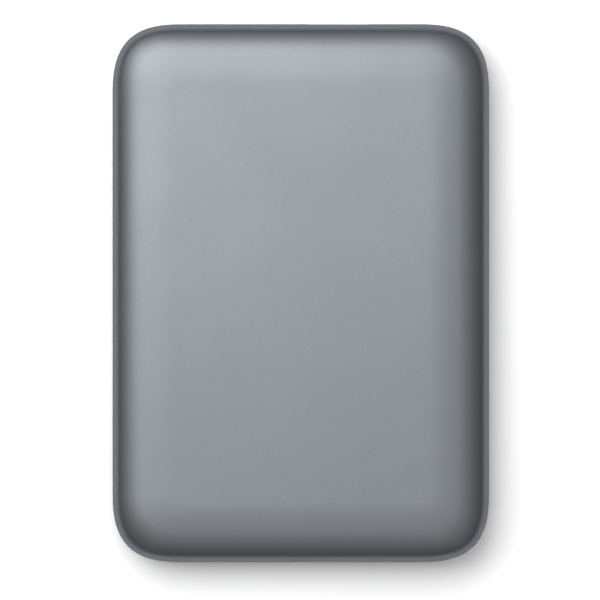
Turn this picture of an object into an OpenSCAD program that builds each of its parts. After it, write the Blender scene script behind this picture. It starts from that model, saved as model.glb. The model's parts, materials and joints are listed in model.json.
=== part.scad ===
// Portable external hard drive: a snapped two-shell case round a 2.5 inch drive and its port board.
// The case lies flat on four rubber feet, the port end faces +Y, and the origin is under its middle.

/* [Case] */
// Width of the case, along X
case_w = 80; // [78:0.5:84]
// Length of the case, along Y
case_l = 114.3; // [113:0.1:118]
// Height of the case with its feet
case_h = 14.8; // [14.6:0.1:16]
// Thickness of the moulded walls
wall = 1.6; // [1.3:0.1:1.8]
// How far each plan corner runs along a side
corner_reach = 15.7; // [14:0.1:18]
// Squareness of the plan corners, where 2 is round
corner_power = 2.9; // [2.4:0.1:3.2]
// Height of the parting line between the two shells
seam_z = 4.9; // [4.7:0.1:5.2]
// Open joint between the two shells
seam_gap = 0.2; // [0.1:0.05:0.3]

/* [Crown of the top cover] */
// Width of the band that curves down to the side
crown_reach = 13; // [11:0.5:14]
// Slope where the soft crown turns to the shoulder, in degrees
crown_slope = 7; // [5:1:9]
// Slope where the shoulder turns to the edge, in degrees
shoulder_slope = 30; // [25:1:35]
// Radius of the shoulder
shoulder_r = 12; // [10:0.5:13]
// Radius of the edge
edge_r = 4; // [3.5:0.1:4.4]

/* [Feet] */
// Radius of a rubber foot
foot_r = 4; // [3:0.5:5]
// How far the feet stand below the tray
foot_proud = 0.5; // [0.3:0.1:0.6]

/* [Port] */
// Place of the port and of the drive's connector along X
port_x = 8; // [6:0.5:9]
// Width of the port's metal shell
port_w = 12.4; // [12.2:0.1:12.8]
// Height of the port's metal shell
port_h = 2.5; // [2.4:0.1:2.8]

/* [Drive mechanism] */
// Radius of the platter
platter_r = 32.5; // [32:0.1:32.5]
// Distance from the arm's pivot to the heads
head_reach = 31.5; // [31:0.1:32]
// Number of stator teeth
stator_teeth = 9; // [6:3:12]

/* [Hidden] */
$fn = 64;
tiny = 0.01;

shell_grey = [0.55, 0.57, 0.59];
board_green = [0.07, 0.25, 0.17];
rubber_black = [0.08, 0.08, 0.09];
plastic_black = [0.12, 0.12, 0.13];
cast_alloy = [0.66, 0.67, 0.68];
steel = [0.74, 0.75, 0.76];
gold = [0.85, 0.66, 0.25];
copper = [0.72, 0.40, 0.20];
mirror_disc = [0.82, 0.83, 0.85];
chip_black = [0.06, 0.06, 0.07];
clear_lens = [0.92, 0.94, 0.96];
amber_film = [0.78, 0.50, 0.16];
felt_white = [0.93, 0.92, 0.88];

// Case
corner_steps = 12;
tray_underside_z = foot_proud;
tray_reach = 6.5;
tray_edge_r = 3.6;
tray_slope = 12;
tray_sweep_r = tray_edge_r + (tray_reach - tray_edge_r) / sin(tray_slope);
lip_gap = 0.15;
lip_t = 0.8;
lip_outer = wall + lip_gap;
lip_inner = lip_outer + lip_t;
lip_top_z = seam_z + 1.3;
side_inner_x = case_w / 2 - wall;
end_inner_y = case_l / 2 - wall;
foot_x = 28;
foot_y = 44;
recess_t = 0.5;
bumper_low_z = 2.8;
bumper_l = 9;
bumper_x = 36.7;
ridge_l = 5;
snap_w = 6;
snap_top_z = 8.4;
snap_barb = 0.5;
rib_t = 1;

// The drive, a 2.5 inch unit 7 mm high, drawn about its own middle with its underside at 0
drive_w = 69.85;
drive_l = 100.35;
drive_h = 7;
drive_z = 4;
drive_corner_r = 3;
drive_end = drive_l / 2;
drive_y = drive_end - 52.9;
side_hole_z = 3;
front_hole_y = drive_end - 14;
rear_hole_y = drive_end - 90.6;
base_hole_x = 30.86;
thread_r = 1.25;

// Heights inside the drive
deck_low_z = 0.9;
disc_floor_z = 1.9;
recess_roof_z = 2;
bay_floor_z = 2.8;
rim_z = 5.8;
lid_z = 6.1;
lid_t = 0.5;
board_low_z = 0.45;
board_t = 0.8;
board_top_z = board_low_z + board_t;

// Spindle
spindle = [0, 2.2 + platter_r - drive_end];
pocket_r = platter_r + 0.7;
platter_z = 4;
platter_t = 0.635;
hub_r = 9.95;
boss_top_z = platter_z + 0.89;
clamp_top_z = boss_top_z + 0.45;
flange_r = 12.4;
well_r = 12.7;
well_z = 0.5;
sleeve_r = 3.2;
shaft_r = 1.4;
stator_z = 1.2;
stator_t = 1.2;
clamp_screw_r = 6.8;

// Head arm, which turns about the pivot
pivot = [15.5, 19.7];
pivot_gap = norm(pivot - spindle);
spindle_bearing = atan2(spindle[1] - pivot[1], spindle[0] - pivot[0]);
parked_radius = 34.2;
parked_angle = spindle_bearing
  - acos((pow(pivot_gap, 2) + pow(head_reach, 2) - pow(parked_radius, 2)) / (2 * pivot_gap * head_reach));
arm_hub_r = 5.6;
arm_bore_r = 4.4;
arm_low_z = 3.05;
arm_high_z = 5;
arm_top_z = 5.9;
arm_t = 0.55;
beam_t = 0.12;
coil_z = 4.1;
coil_t = 0.8;
coil_half = 17;
yoke_t = 0.65;
yoke_low_z = bay_floor_z;
yoke_high_z = 5.4;
yoke_r = [8.2, 17.5];
yoke_from = parked_angle + 180 - 33;
yoke_to = yoke_from + 106;
ball_r = 0.42;
ball_track_r = 2.65;
ball_rows = [3.75, 5.25];
bracket_low = [-13, 28.9];
bracket_high = [1, 36.9];
film_t = 0.1;
film_z = [arm_low_z + 0.75, arm_low_z + 1.85];

// Plug of the drive and socket of the port board
plug_w = 34.4;
plug_inner_w = plug_w - 1;
plug_z = board_top_z;
plug_h = 3.9;
plug_rear_y = drive_end - 6.2;
plug_mid_z = plug_z + plug_h / 2;
signal_x = [port_x - 15.9, port_x - 6];
power_x = [port_x - 3.6, port_x + 15.9];
blade_t = 1.2;
contact_w = 0.6;
contact_pitch = 1.27;
socket_nose_y = plug_rear_y + 1.7;
socket_step_y = drive_end + 0.4;

// Port board
bridge_z = 6.5;
bridge_t = 0.8;
bridge_top_z = bridge_z + bridge_t;
bridge_rear_y = 49.75;
bridge_front_y = 55.3;
bridge_left_x = port_x - 18.5;
bridge_right_x = port_x + 18.5;
board_post_x = [bridge_left_x + 1.6, bridge_right_x - 2];
board_post_y = 52;
port_z = bridge_top_z;
port_rear_y = 50.9;
port_front_y = case_l / 2 - 0.55;
port_depth = port_front_y - port_rear_y;
port_t = 0.3;
port_tab_x = [-port_w / 2 + 0.2, port_w / 2 - 1.2];
mouth_wide = 6.9;
mouth_narrow = port_w - mouth_wide - 3 * port_t;
mouth_h = port_h - 2 * port_t;
tongue_t = 0.6;
tongue_z = port_z + port_h / 2 - tongue_t / 2;
wide_tongue_x = port_x - port_w / 2 + port_t + mouth_wide / 2;
narrow_tongue_x = port_x + port_w / 2 - port_t - mouth_narrow / 2;
light_x = port_x - 12;
light_z = 8.4;
light_r = 0.8;

// A point at radius r from c, where angle 0 is straight up and 90 is outward
function off(c, r, a) = [c[0] + r * sin(a), c[1] + r * cos(a)];

// A point at radius r from c, at angle a from +X
function polar(c, r, a) = [c[0] + r * cos(a), c[1] + r * sin(a)];

// Points of an arc from angle a0 to a1 in n steps
function arc(c, r, a0, a1, n = 8) = [for (i = [0:n]) polar(c, r, a0 + (a1 - a0) * i / n)];

// Outline of a ring sector between two radii
function sector(c, r0, r1, a0, a1, n = 12) = concat(arc(c, r1, a0, a1, n), arc(c, r0, a1, a0, n));

// Outline of a rectangle with rounded corners, centred on c
function rounded(c, w, l, r, n = 6) = [
  for (q = [0:3]) for (i = [0:n])
    let (sx = q == 0 || q == 3 ? 1 : -1, sy = q < 2 ? 1 : -1)
      polar([c[0] + sx * (w / 2 - r), c[1] + sy * (l / 2 - r)], r, 90 * (q + i / n))
];

// The case's plan outline, drawn inset from the widest line, at height z
function case_ring(inset, z) =
  let (
    reach = max(corner_reach - inset, 1),
    cx = case_w / 2 - inset - reach,
    cy = case_l / 2 - inset - reach,
    power = 2 / corner_power
  ) [
    for (q = [0:3]) for (i = [0:corner_steps])
      let (
        t = 90 * (q + i / corner_steps),
        sx = q == 0 || q == 3 ? 1 : -1,
        sy = q < 2 ? 1 : -1
      ) [
        sx * (cx + reach * pow(max(abs(cos(t)), 0), power)),
        sy * (cy + reach * pow(max(abs(sin(t)), 0), power)),
        z
      ]
  ];

// Closed skin through a stack of rings of equal length, going up on the outside
module skin(rings) {
  n = len(rings[0]);
  k = len(rings);
  points = [for (r = rings) for (p = r) p];
  sides = [
    for (j = [0:k - 2]) for (i = [0:n - 1]) for (half = [0, 1])
      let (a = j * n + i, b = j * n + (i + 1) % n)
        half == 0 ? [a, a + n, b + n] : [a, b + n, b]
  ];
  first = [for (i = [0:n - 1]) i];
  last = [for (i = [n - 1:-1:0]) (k - 1) * n + i];
  polyhedron(points, concat([first], sides, [last]), convexity = 8);
}

// Section of the cover's crown as [inset, drop] points: three tangent arcs, thinned inward by t
crown_r = shoulder_r
  + (crown_reach - edge_r - (shoulder_r - edge_r) * sin(shoulder_slope)) / sin(crown_slope);
crown_c = [0, -crown_r];
shoulder_c = off(crown_c, crown_r - shoulder_r, crown_slope);
edge_c = off(shoulder_c, shoulder_r - edge_r, shoulder_slope);
function crown_section(t, crown_n, shoulder_n, edge_n) =
  let (points = concat(
    [for (i = [0:crown_n - 1]) off(crown_c, crown_r - t, crown_slope * i / crown_n)],
    [for (i = [0:shoulder_n - 1])
      off(shoulder_c, shoulder_r - t, crown_slope + (shoulder_slope - crown_slope) * i / shoulder_n)],
    [for (i = [0:edge_n]) off(edge_c, edge_r - t, shoulder_slope + (90 - shoulder_slope) * i / edge_n)]
  )) [for (p = points) [crown_reach - p[0], p[1]]];

// Section of the tray's lower edge as [inset, rise] points up to angle last, thinned inward by t
tray_sweep_c = [0, -tray_sweep_r];
tray_edge_c = off(tray_sweep_c, tray_sweep_r - tray_edge_r, tray_slope);
function tray_section(t, last, sweep_n, edge_n) =
  let (points = concat(
    [for (i = [0:sweep_n - 1]) off(tray_sweep_c, tray_sweep_r - t, tray_slope * i / sweep_n)],
    [for (i = [0:edge_n]) off(tray_edge_c, tray_edge_r - t, tray_slope + (last - tray_slope) * i / edge_n)]
  )) [for (p = points) [tray_reach - p[0], -p[1]]];

// One box given by its low and high corners
module block(low, high) {
  translate(low) cube(high - low);
}

// A flat shape raised between two heights
module plate(points, z0, z1) {
  translate([0, 0, z0]) linear_extrude(z1 - z0) polygon(points);
}

// Moulded rib from a to b, drafted from its root height to its tip at z
module rib(a, b, z) {
  hull() {
    for (p = [a, b]) {
      translate([p[0] - rib_t / 2, p[1] - rib_t / 2, p[2]]) cube([rib_t, rib_t, tiny]);
      translate([p[0] - rib_t * 0.35, p[1] - rib_t * 0.35, z]) cube([rib_t * 0.7, rib_t * 0.7, tiny]);
    }
  }
}

// Puts what is drawn in the drive's own frame into the case
module in_drive() {
  translate([0, drive_y, drive_z]) children();
}

// Repeats its children at the drive's four side holes, facing outward along +X
module at_side_holes(side_list = [-1, 1], y_list = [rear_hole_y, front_hole_y]) {
  for (side = side_list) for (y = y_list) translate([0, y, 0]) mirror([side < 0 ? 1 : 0, 0, 0]) children();
}

// Snap tabs: [x, y, turn] of each, with the tab's outward side along its turned +Y
snap_places = concat(
  [for (y = [-22, 12]) [side_inner_x, y, -90]],
  [for (y = [-22, 12]) [-side_inner_x, y, 90]],
  [for (x = [-15, 15]) [x, -end_inner_y, 180]],
  [[-20, end_inner_y, 0]]
);
module at_snaps() {
  for (p = snap_places) translate([p[0], p[1], 0]) rotate([0, 0, p[2]]) children();
}

// Moulded cover: crowned roof, side wall, roof ribs, bumper ribs, snap pockets and the port window
rib_low_z = drive_z + drive_h + 0.35;
module cover_shell() {
  inner = crown_section(wall, 2, 3, 4);
  outer = crown_section(0, 4, 5, 8);
  rings = concat(
    [for (p = inner) case_ring(p[0], case_h + p[1])],
    [case_ring(wall, seam_z + seam_gap), case_ring(0, seam_z + seam_gap)],
    [for (i = [len(outer) - 1:-1:0]) case_ring(outer[i][0], case_h + outer[i][1])]
  );
  skin(rings);
}

module cover_ribs() {
  roof_z = case_h - wall + 0.4;
  for (x = [-14, 14]) rib([x, -40, roof_z], [x, 40, roof_z], rib_low_z);
  for (y = [-28, 0, 28]) rib([-26, y, roof_z], [26, y, roof_z], rib_low_z + 0.3);
  translate([0, drive_y, 0]) at_side_holes() for (dy = [-ridge_l / 2 - 0.7, ridge_l / 2 + 0.7]) {
    rib([37.4, dy, 10.5], [side_inner_x + 0.3, dy, 10.5], lip_top_z + 0.3);
  }
}

module top_cover() {
  color(shell_grey) difference() {
    union() {
      cover_shell();
      cover_ribs();
    }
    at_snaps() block([-snap_w / 2 - 0.4, -0.5, 7.3], [snap_w / 2 + 0.4, 0.5, snap_top_z + 0.3]);
    port_window();
    translate([light_x, case_l / 2 + 1, light_z]) rotate([90, 0, 0]) cylinder(r = light_r + 0.1, h = 4);
  }
}

// Window for the port, a rounded slot through the end wall
module port_window() {
  translate([port_x, case_l / 2 + 1, port_z + port_h / 2]) rotate([90, 0, 0])
    linear_extrude(4) polygon(rounded([0, 0], port_w + 0.7, port_h + 0.7, 0.6));
}

// Moulded tray: curved underside, inner lip with snap tabs, floor ribs, bumper pockets and board posts
module tray_shell() {
  lip_angle = asin((tray_edge_r - lip_inner) / (tray_edge_r - wall));
  inner = tray_section(wall, lip_angle, 2, 2);
  outer = tray_section(0, 90, 3, 8);
  rings = concat(
    [for (p = outer) case_ring(p[0], tray_underside_z + p[1])],
    [
      case_ring(0, seam_z), case_ring(lip_outer, seam_z), case_ring(lip_outer, lip_top_z - 0.2),
      case_ring(lip_outer + 0.2, lip_top_z), case_ring(lip_inner, lip_top_z)
    ],
    [for (i = [len(inner) - 1:-1:0]) case_ring(inner[i][0], tray_underside_z + inner[i][1])]
  );
  skin(rings);
}

module snap_tab() {
  outer_y = -lip_gap - 0.1;
  rotate([90, 0, 90]) translate([0, 0, -snap_w / 2]) linear_extrude(snap_w) polygon([
    [outer_y - lip_t, lip_top_z - 1.5], [outer_y - lip_t / 2, lip_top_z - 1.5], [outer_y, lip_top_z - 1],
    [outer_y, snap_top_z - 0.9], [outer_y + snap_barb, snap_top_z - 0.7], [outer_y, snap_top_z],
    [outer_y - lip_t, snap_top_z]
  ]);
}

module tray_ribs() {
  low = tray_underside_z + wall - 0.4;
  for (x = [-20, 20]) rib([x, -45, low], [x, 40, low], 3.3);
  for (y = [-30, 0, 30]) rib([-31, y, low], [31, y, low], 3);
  translate([0, drive_y, 0]) at_side_holes() {
    for (dy = [-bumper_l / 2 - 0.7, bumper_l / 2 + 0.7]) rib([35.7, dy, low], [36.4, dy, low], 5.5);
    rib([35.5, 0, low], [36.4, 0, low], bumper_low_z);
  }
}

module board_posts() {
  for (x = board_post_x) translate([x, board_post_y, 0]) {
    translate([0, 0, tray_underside_z + 1]) cylinder(r = 1.4, h = bridge_z - tray_underside_z - 1, $fn = 20);
    translate([0, 0, bridge_z - 1]) cylinder(r = 0.6, h = bridge_t + 1.5, $fn = 20);
  }
}

module bottom_tray() {
  color(shell_grey * 0.62) difference() {
    union() {
      tray_shell();
      at_snaps() snap_tab();
      tray_ribs();
      board_posts();
    }
    for (sx = [-1, 1]) for (sy = [-1, 1]) translate([sx * foot_x, sy * foot_y, tray_underside_z - 1]) {
      cylinder(r = foot_r + 0.1, h = recess_t + 1);
    }
  }
}

module foot(sx, sy) {
  color(rubber_black) translate([sx * foot_x, sy * foot_y, 0]) {
    cylinder(r1 = foot_r - 0.3, r2 = foot_r, h = 0.3);
    translate([0, 0, 0.3]) cylinder(r = foot_r, h = foot_proud + recess_t - 0.3);
  }
}

// Rubber bumper with two soft ridges outward and a peg that plugs into one of the drive's side holes
module bumper(side, y) {
  low = bumper_low_z - drive_z;
  color(rubber_black) in_drive() at_side_holes([side], [y]) union() {
    block([drive_w / 2, -bumper_l / 2, low], [bumper_x, bumper_l / 2, drive_h]);
    for (z = [2.8, 4.8]) block([bumper_x - tiny, -ridge_l / 2, z], [38.1, ridge_l / 2, z + 1]);
    translate([drive_w / 2 - 2, 0, side_hole_z]) rotate([0, 90, 0]) cylinder(r = thread_r - 0.05, h = 2.5);
  }
}

// Port: formed metal shell with a wide and a narrow mouth
function wide_mouth() =
  let (x0 = port_t - port_w / 2, x1 = x0 + mouth_wide, y0 = port_t, y1 = port_t + mouth_h)
    [[x0, y0 + 0.55], [x0 + 0.65, y0], [x1 - 0.65, y0], [x1, y0 + 0.55], [x1, y1], [x0, y1]];
function narrow_mouth() =
  let (x1 = port_w / 2 - port_t, x0 = x1 - mouth_narrow, y0 = port_t, y1 = port_t + mouth_h)
    [[x0, y0], [x1 - 0.3, y0], [x1, y0 + 0.3], [x1, y1], [x0, y1]];
function port_outline() =
  let (x = port_w / 2) [[-x, 0.75], [0.75 - x, 0], [x - 0.5, 0], [x, 0.5], [x, port_h], [-x, port_h]];

// Stands a profile of the port upright, running from its rear towards +Y
module port_run(from, points) {
  translate([port_x, port_front_y, port_z]) rotate([90, 0, 0]) translate([0, 0, -from])
    linear_extrude(port_depth + from) polygon(points);
}

module port_shell() {
  color(steel) difference() {
    union() {
      port_run(0, port_outline());
      for (x = port_tab_x) block(
        [port_x + x, port_rear_y + 1, bridge_z - 0.2], [port_x + x + 1, port_rear_y + 2.2, port_z + 0.5]
      );
    }
    translate([0, 0.6, 0]) {
      port_run(1, wide_mouth());
      port_run(1, narrow_mouth());
    }
  }
}

// One tongue: a wide root that fills the mouth and a thin blade that the plug slides over
module tongue(x, half_w) {
  rear = port_rear_y + 0.6;
  low = port_z + port_t;
  union() {
    block([x - half_w - 0.5, rear, low], [x + half_w + 0.5, rear + 1.2, low + mouth_h]);
    block([x - half_w, rear, tongue_z], [x + half_w, port_front_y - 0.7, tongue_z + tongue_t]);
  }
}

module port_tongues() {
  color(plastic_black) {
    tongue(wide_tongue_x, 1.9);
    tongue(narrow_tongue_x, 1.5);
  }
}

module tongue_contacts(x, pitch) {
  half_w = 0.13;
  for (i = [-2:2]) block(
    [x + i * pitch - half_w, port_rear_y + 1.8, tongue_z - 0.06],
    [x + i * pitch + half_w, port_front_y - 1, tongue_z]
  );
}

module port_contacts() {
  color(gold) {
    tongue_contacts(wide_tongue_x, 0.65);
    tongue_contacts(narrow_tongue_x, 0.55);
  }
}

// Light pipe: a foot in front of the light and a rod out to the end wall
module light_pipe() {
  color(clear_lens) union() {
    block([light_x - 1, 52.6, bridge_top_z], [light_x + 1, 54.6, bridge_top_z + 2]);
    translate([light_x, 54, light_z]) rotate([-90, 0, 0]) cylinder(r = light_r, h = case_l / 2 - 54.05);
  }
}

module activity_light() {
  color(felt_white) block([light_x - 0.8, 51.5, bridge_top_z], [light_x + 0.8, 52.6, bridge_top_z + 0.9]);
}

module bridge_board() {
  color(board_green) difference() {
    block([bridge_left_x, bridge_rear_y, bridge_z], [bridge_right_x, bridge_front_y, bridge_top_z]);
    for (x = board_post_x) translate([x, board_post_y, bridge_z - 1]) cylinder(r = 0.7, h = 3);
    for (x = port_tab_x) block(
      [port_x + x - 0.1, port_rear_y + 0.9, bridge_z - 1], [port_x + x + 1.1, port_rear_y + 2.3, bridge_z + 2]
    );
  }
}

module bridge_chip() {
  color(chip_black) block([port_x - 2.5, 50.2, bridge_z - 0.85], [port_x + 2.5, 54.3, bridge_z]);
}

// Crystal, regulator and rows of chip capacitors on the port board
module bridge_small_parts() {
  color(cast_alloy) plate(rounded([port_x + 11.5, 53.2], 3.2, 2.5, 0.6, 3), bridge_top_z, bridge_top_z + 0.7);
  color(chip_black) block([port_x + 8.2, 50.9, bridge_top_z], [port_x + 9.4, 52.5, bridge_top_z + 1]);
  color(gold) {
    for (x = [10:1.3:15.2]) block(
      [port_x + x, 50.9, bridge_top_z], [port_x + x + 0.7, 51.7, bridge_top_z + 0.5]
    );
    for (x = [-9.6:1.3:-7]) block([port_x + x, 52, bridge_z - 0.5], [port_x + x + 0.7, 53.4, bridge_z]);
  }
}

// The drive's plug: a housing open to +Y round a narrow signal blade and a wide power blade
module drive_plug() {
  color(plastic_black) in_drive() union() {
    difference() {
      block([port_x - plug_w / 2, plug_rear_y, plug_z], [port_x + plug_w / 2, drive_end, plug_z + plug_h]);
      block(
        [port_x - plug_inner_w / 2, plug_rear_y + 1.4, plug_z + 0.3],
        [port_x + plug_inner_w / 2, drive_end + 1, plug_z + plug_h - 0.3]
      );
    }
    for (span = [signal_x, power_x]) block(
      [span[0], plug_rear_y + 1, plug_mid_z - blade_t / 2],
      [span[1], drive_end - 0.6, plug_mid_z + blade_t / 2]
    );
  }
}

// Seven signal and fifteen power contacts, between two [y, z] corners
module contact_row(low, high) {
  signal = [for (i = [0:6]) signal_x[0] + 0.8 + i * contact_pitch];
  power = [for (i = [0:14]) power_x[0] + 0.6 + i * contact_pitch];
  for (x = concat(signal, power)) block([x, low[0], low[1]], [x + contact_w, high[0], high[1]]);
}

module drive_plug_contacts() {
  z = plug_mid_z + blade_t / 2;
  color(gold) in_drive() contact_row([plug_rear_y + 1.4, z], [drive_end - 1, z + 0.08]);
}

// The port board's socket: a nose that slides into the plug round both blades
module board_socket() {
  slot = blade_t / 2 + 0.35;
  rear = bridge_rear_y - drive_y;
  color(plastic_black) in_drive() difference() {
    union() {
      block(
        [port_x - plug_inner_w / 2 + 0.15, socket_nose_y, plug_z + 0.5],
        [port_x + plug_inner_w / 2 - 0.15, socket_step_y + tiny, plug_z + plug_h - 0.5]
      );
      block(
        [port_x - plug_w / 2 - 0.1, socket_step_y, plug_z + 0.1],
        [port_x + plug_w / 2 + 0.1, rear, plug_z + plug_h - 0.1]
      );
    }
    for (span = [signal_x, power_x]) block(
      [span[0] - 0.2, socket_nose_y - 1, plug_mid_z - slot], [span[1] + 0.2, socket_step_y, plug_mid_z + slot]
    );
  }
}

module board_socket_contacts() {
  low = plug_mid_z + blade_t / 2 + 0.12;
  high = plug_mid_z + blade_t / 2 + 0.35;
  board = [bridge_rear_y - drive_y, bridge_top_z - drive_z];
  color(gold) in_drive() {
    contact_row([socket_nose_y + 0.6, low], [socket_step_y, high]);
    contact_row(board, board + [0.9, 0.1]);
  }
}

// Foil shield stuck over the drive's board from below
module shield_foil() {
  color(steel) in_drive() difference() {
    plate(rounded([0, 29], 68.6, 40, 2), -0.15, 0);
    for (side = [-1, 1]) translate([side * base_hole_x, front_hole_y, -1]) cylinder(r = 2, h = 2);
  }
}

// Outlines shared by the drive's base, gasket and cover, grown outward
function drive_outline(grow) = rounded([0, 0], drive_w + 2 * grow, drive_l + 2 * grow, drive_corner_r + grow);
function bay_outline(grow) =
  let (
    left = -25 - grow, top = 39.4 + grow, step_y = 32.7 + grow, right = 33.2 + min(grow, 0.3),
    low = 10.9 - grow
  ) [
    [left, top], [left, 7.4], [-8, -0.6], [20, -2.6], [30, low], [right, low], [right, step_y],
    [27.3 + grow, step_y], [27.3 + grow, top]
  ];
cover_screw_side = [[31.6, 3.3 - drive_end], [31.2, 6.9], [31.4, drive_end - 3.3]];
screw_places = [for (side = [-1, 1]) for (p = cover_screw_side) [side * p[0], p[1]]];
board_screw_places = [[-29, 24.4], [29, 24.4], [-21, 46.2], [30.4, 46.2]];

// Round platter pocket joined to the bay for the arm
module pocket(grow, z0, z1) {
  union() {
    at_spindle(z0) cylinder(r = pocket_r + grow, h = z1 - z0);
    plate(bay_outline(grow), z0, z1);
  }
}

// Outline of the drive's board: cut round the motor and round the front mounting holes
module board_shape(grow, z0, z1) {
  difference() {
    plate(rounded([0, 27.4], 66.2 + 2 * grow, 43 + 2 * grow, 1.5 + grow, 4), z0, z1);
    at_spindle(z0 - 1) cylinder(r = 34.6 - grow, h = z1 - z0 + 2);
    for (side = [0, 1]) mirror([side, 0, 0]) {
      translate([base_hole_x, front_hole_y, z0 - 1]) cylinder(r = 4.1 - grow, h = z1 - z0 + 2);
      block(
        [base_hole_x, front_hole_y - 4.1 + grow, z0 - 1], [base_hole_x + 4, front_hole_y + 4.1 - grow, z1 + 1]
      );
    }
  }
}

// Cast base: a tub with the platter pocket and the arm's bay, and a recess for the board below
module drive_base() {
  color(cast_alloy) in_drive() difference() {
    plate(drive_outline(0), 0, rim_z);
    at_spindle(disc_floor_z) cylinder(r = pocket_r, h = drive_h);
    plate(bay_outline(0), bay_floor_z, drive_h);
    at_spindle(-1) difference() {
      cylinder(r = 29, h = deck_low_z + 1);
      cylinder(r = well_r + 1.5, h = 3);
    }
    at_spindle(well_z) cylinder(r = well_r, h = drive_h);
    at_spindle(-1) cylinder(r = sleeve_r, h = drive_h);
    difference() {
      board_shape(0.3, -1, recess_roof_z);
      for (p = board_screw_places) translate([p[0], p[1], board_top_z]) cylinder(r = 1.9, h = 2);
    }
    block(
      [port_x - plug_w / 2 - 0.3, plug_rear_y - 0.3, -1],
      [port_x + plug_w / 2 + 0.3, drive_end + 1, plug_z + plug_h + 0.15]
    );
    for (p = board_screw_places) translate([p[0], p[1], 0]) cylinder(r = 0.8, h = 2.6);
    for (p = screw_places) translate([p[0], p[1], rim_z - 3]) cylinder(r = 0.9, h = 4);
    at_side_holes() {
      translate([base_hole_x, 0, -1]) cylinder(r = thread_r, h = 3.3);
      translate([drive_w / 2 - 2.6, 0, side_hole_z]) rotate([0, 90, 0]) cylinder(r = thread_r, h = 4);
    }
  }
}

module cover_gasket() {
  color(chip_black) in_drive() difference() {
    pocket(1.1, rim_z, lid_z);
    pocket(0.2, rim_z - 1, lid_z + 1);
  }
}

// Raised panel of the drive's cover, over the platter and the arm
module panel(grow, z0, z1) {
  union() {
    at_spindle(z0) cylinder(r = 31 + grow, h = z1 - z0);
    plate(rounded([1.5, 18.4], 55 + 2 * grow, 46 + 2 * grow, 3 + grow), z0, z1);
  }
}

// Pressed steel cover: a flange with screw holes round the raised panel
module drive_cover() {
  color(steel) in_drive() difference() {
    union() {
      plate(drive_outline(-0.4), lid_z, lid_z + lid_t);
      panel(0, lid_z + lid_t - tiny, drive_h);
    }
    panel(-lid_t, lid_z - 1, drive_h - lid_t);
    for (p = screw_places) translate([p[0], p[1], lid_z - 1]) cylinder(r = 1.1, h = 3);
    translate([-18, 27.4, lid_z]) cylinder(r = 0.7, h = 3);
  }
}

// Screw with a flat head and a six-sided socket, its head standing on 0 and its shank below
module flat_screw(head_r, head_t, shank_r, shank_l) {
  difference() {
    union() {
      cylinder(r = head_r, h = head_t);
      translate([0, 0, -shank_l]) cylinder(r = shank_r, h = shank_l + tiny);
    }
    translate([0, 0, head_t - 0.2]) cylinder(r = head_r * 0.45, h = 1, $fn = 6);
  }
}

module cover_screws() {
  color(steel) in_drive() for (p = screw_places) translate([p[0], p[1], lid_z + lid_t]) {
    flat_screw(1.9, 0.4, 0.85, 3);
  }
}

module drive_board() {
  color(board_green) in_drive() difference() {
    board_shape(0, board_low_z, board_top_z);
    for (p = board_screw_places) translate([p[0], p[1], 0]) cylinder(r = 0.9, h = 4);
  }
}

module chip(x, y, w, l) {
  low = [x - w / 2, y - l / 2, board_top_z];
  color(chip_black) in_drive() block(low, low + [w, l, 0.6]);
}

module drive_board_screws() {
  color(steel) in_drive() for (p = board_screw_places) {
    translate([p[0], p[1], board_low_z]) mirror([0, 0, 1]) flat_screw(1.6, 0.4, 0.75, 2);
  }
}

// Spindle motor, placed about the drive's spindle
module at_spindle(z) {
  translate([spindle[0], spindle[1], z]) children();
}

// Repeats its children evenly about the spindle, count times, starting at an angle
module round_spindle(count, start = 0) {
  for (i = [0:count - 1]) rotate([0, 0, start + 360 * i / count]) children();
}

module spindle_sleeve() {
  color(gold) in_drive() at_spindle(0.1) difference() {
    cylinder(r = sleeve_r, h = 3);
    translate([0, 0, 0.4]) cylinder(r = shaft_r + 0.03, h = 4);
  }
}

module stator_core() {
  tooth = 360 / stator_teeth;
  color(cast_alloy) in_drive() at_spindle(stator_z) difference() {
    union() {
      cylinder(r = 4.9, h = stator_t);
      round_spindle(stator_teeth) {
        translate([4, -0.55, 0]) cube([5, 1.1, stator_t]);
        linear_extrude(stator_t) polygon(sector([0, 0], 8.7, 9.4, -tooth * 0.36, tooth * 0.36, 4));
      }
    }
    translate([0, 0, -1]) cylinder(r = sleeve_r + 0.05, h = 4);
  }
}

module stator_coils() {
  color(copper) in_drive() at_spindle(stator_z) round_spindle(stator_teeth) difference() {
    translate([5.5, -1.25, -0.45]) cube([2.8, 2.5, stator_t + 0.9]);
    translate([5, -0.6, -0.05]) cube([4, 1.2, stator_t + 0.1]);
  }
}

module spindle_shaft() {
  color(steel) in_drive() at_spindle(0.55) cylinder(r = shaft_r, h = boss_top_z - 0.55);
}

// Turning hub: a seat under the platter, a boss through it and a skirt round the magnet
module spindle_hub() {
  color(cast_alloy) in_drive() at_spindle(0) difference() {
    union() {
      translate([0, 0, 0.8]) cylinder(r = flange_r - 0.2, h = 2.6);
      translate([0, 0, 3.3]) cylinder(r = flange_r, h = platter_z - 3.3);
      translate([0, 0, platter_z - tiny]) cylinder(r = hub_r, h = boss_top_z - platter_z + tiny);
    }
    cylinder(r = flange_r - 1.7, h = 3.2);
    cylinder(r = shaft_r, h = drive_h);
    round_spindle(6) translate([clamp_screw_r, 0, 3.6]) cylinder(r = 0.7, h = 2);
  }
}

module rotor_magnet() {
  color(chip_black) in_drive() at_spindle(0.8) difference() {
    cylinder(r = flange_r - 1.7, h = 2.2);
    translate([0, 0, -1]) cylinder(r = 9.7, h = 5);
  }
}

module platter() {
  color(mirror_disc) in_drive() at_spindle(platter_z) difference() {
    cylinder(r = platter_r, h = platter_t, $fn = 128);
    translate([0, 0, -1]) cylinder(r = hub_r + 0.05, h = 3);
  }
}

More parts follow.
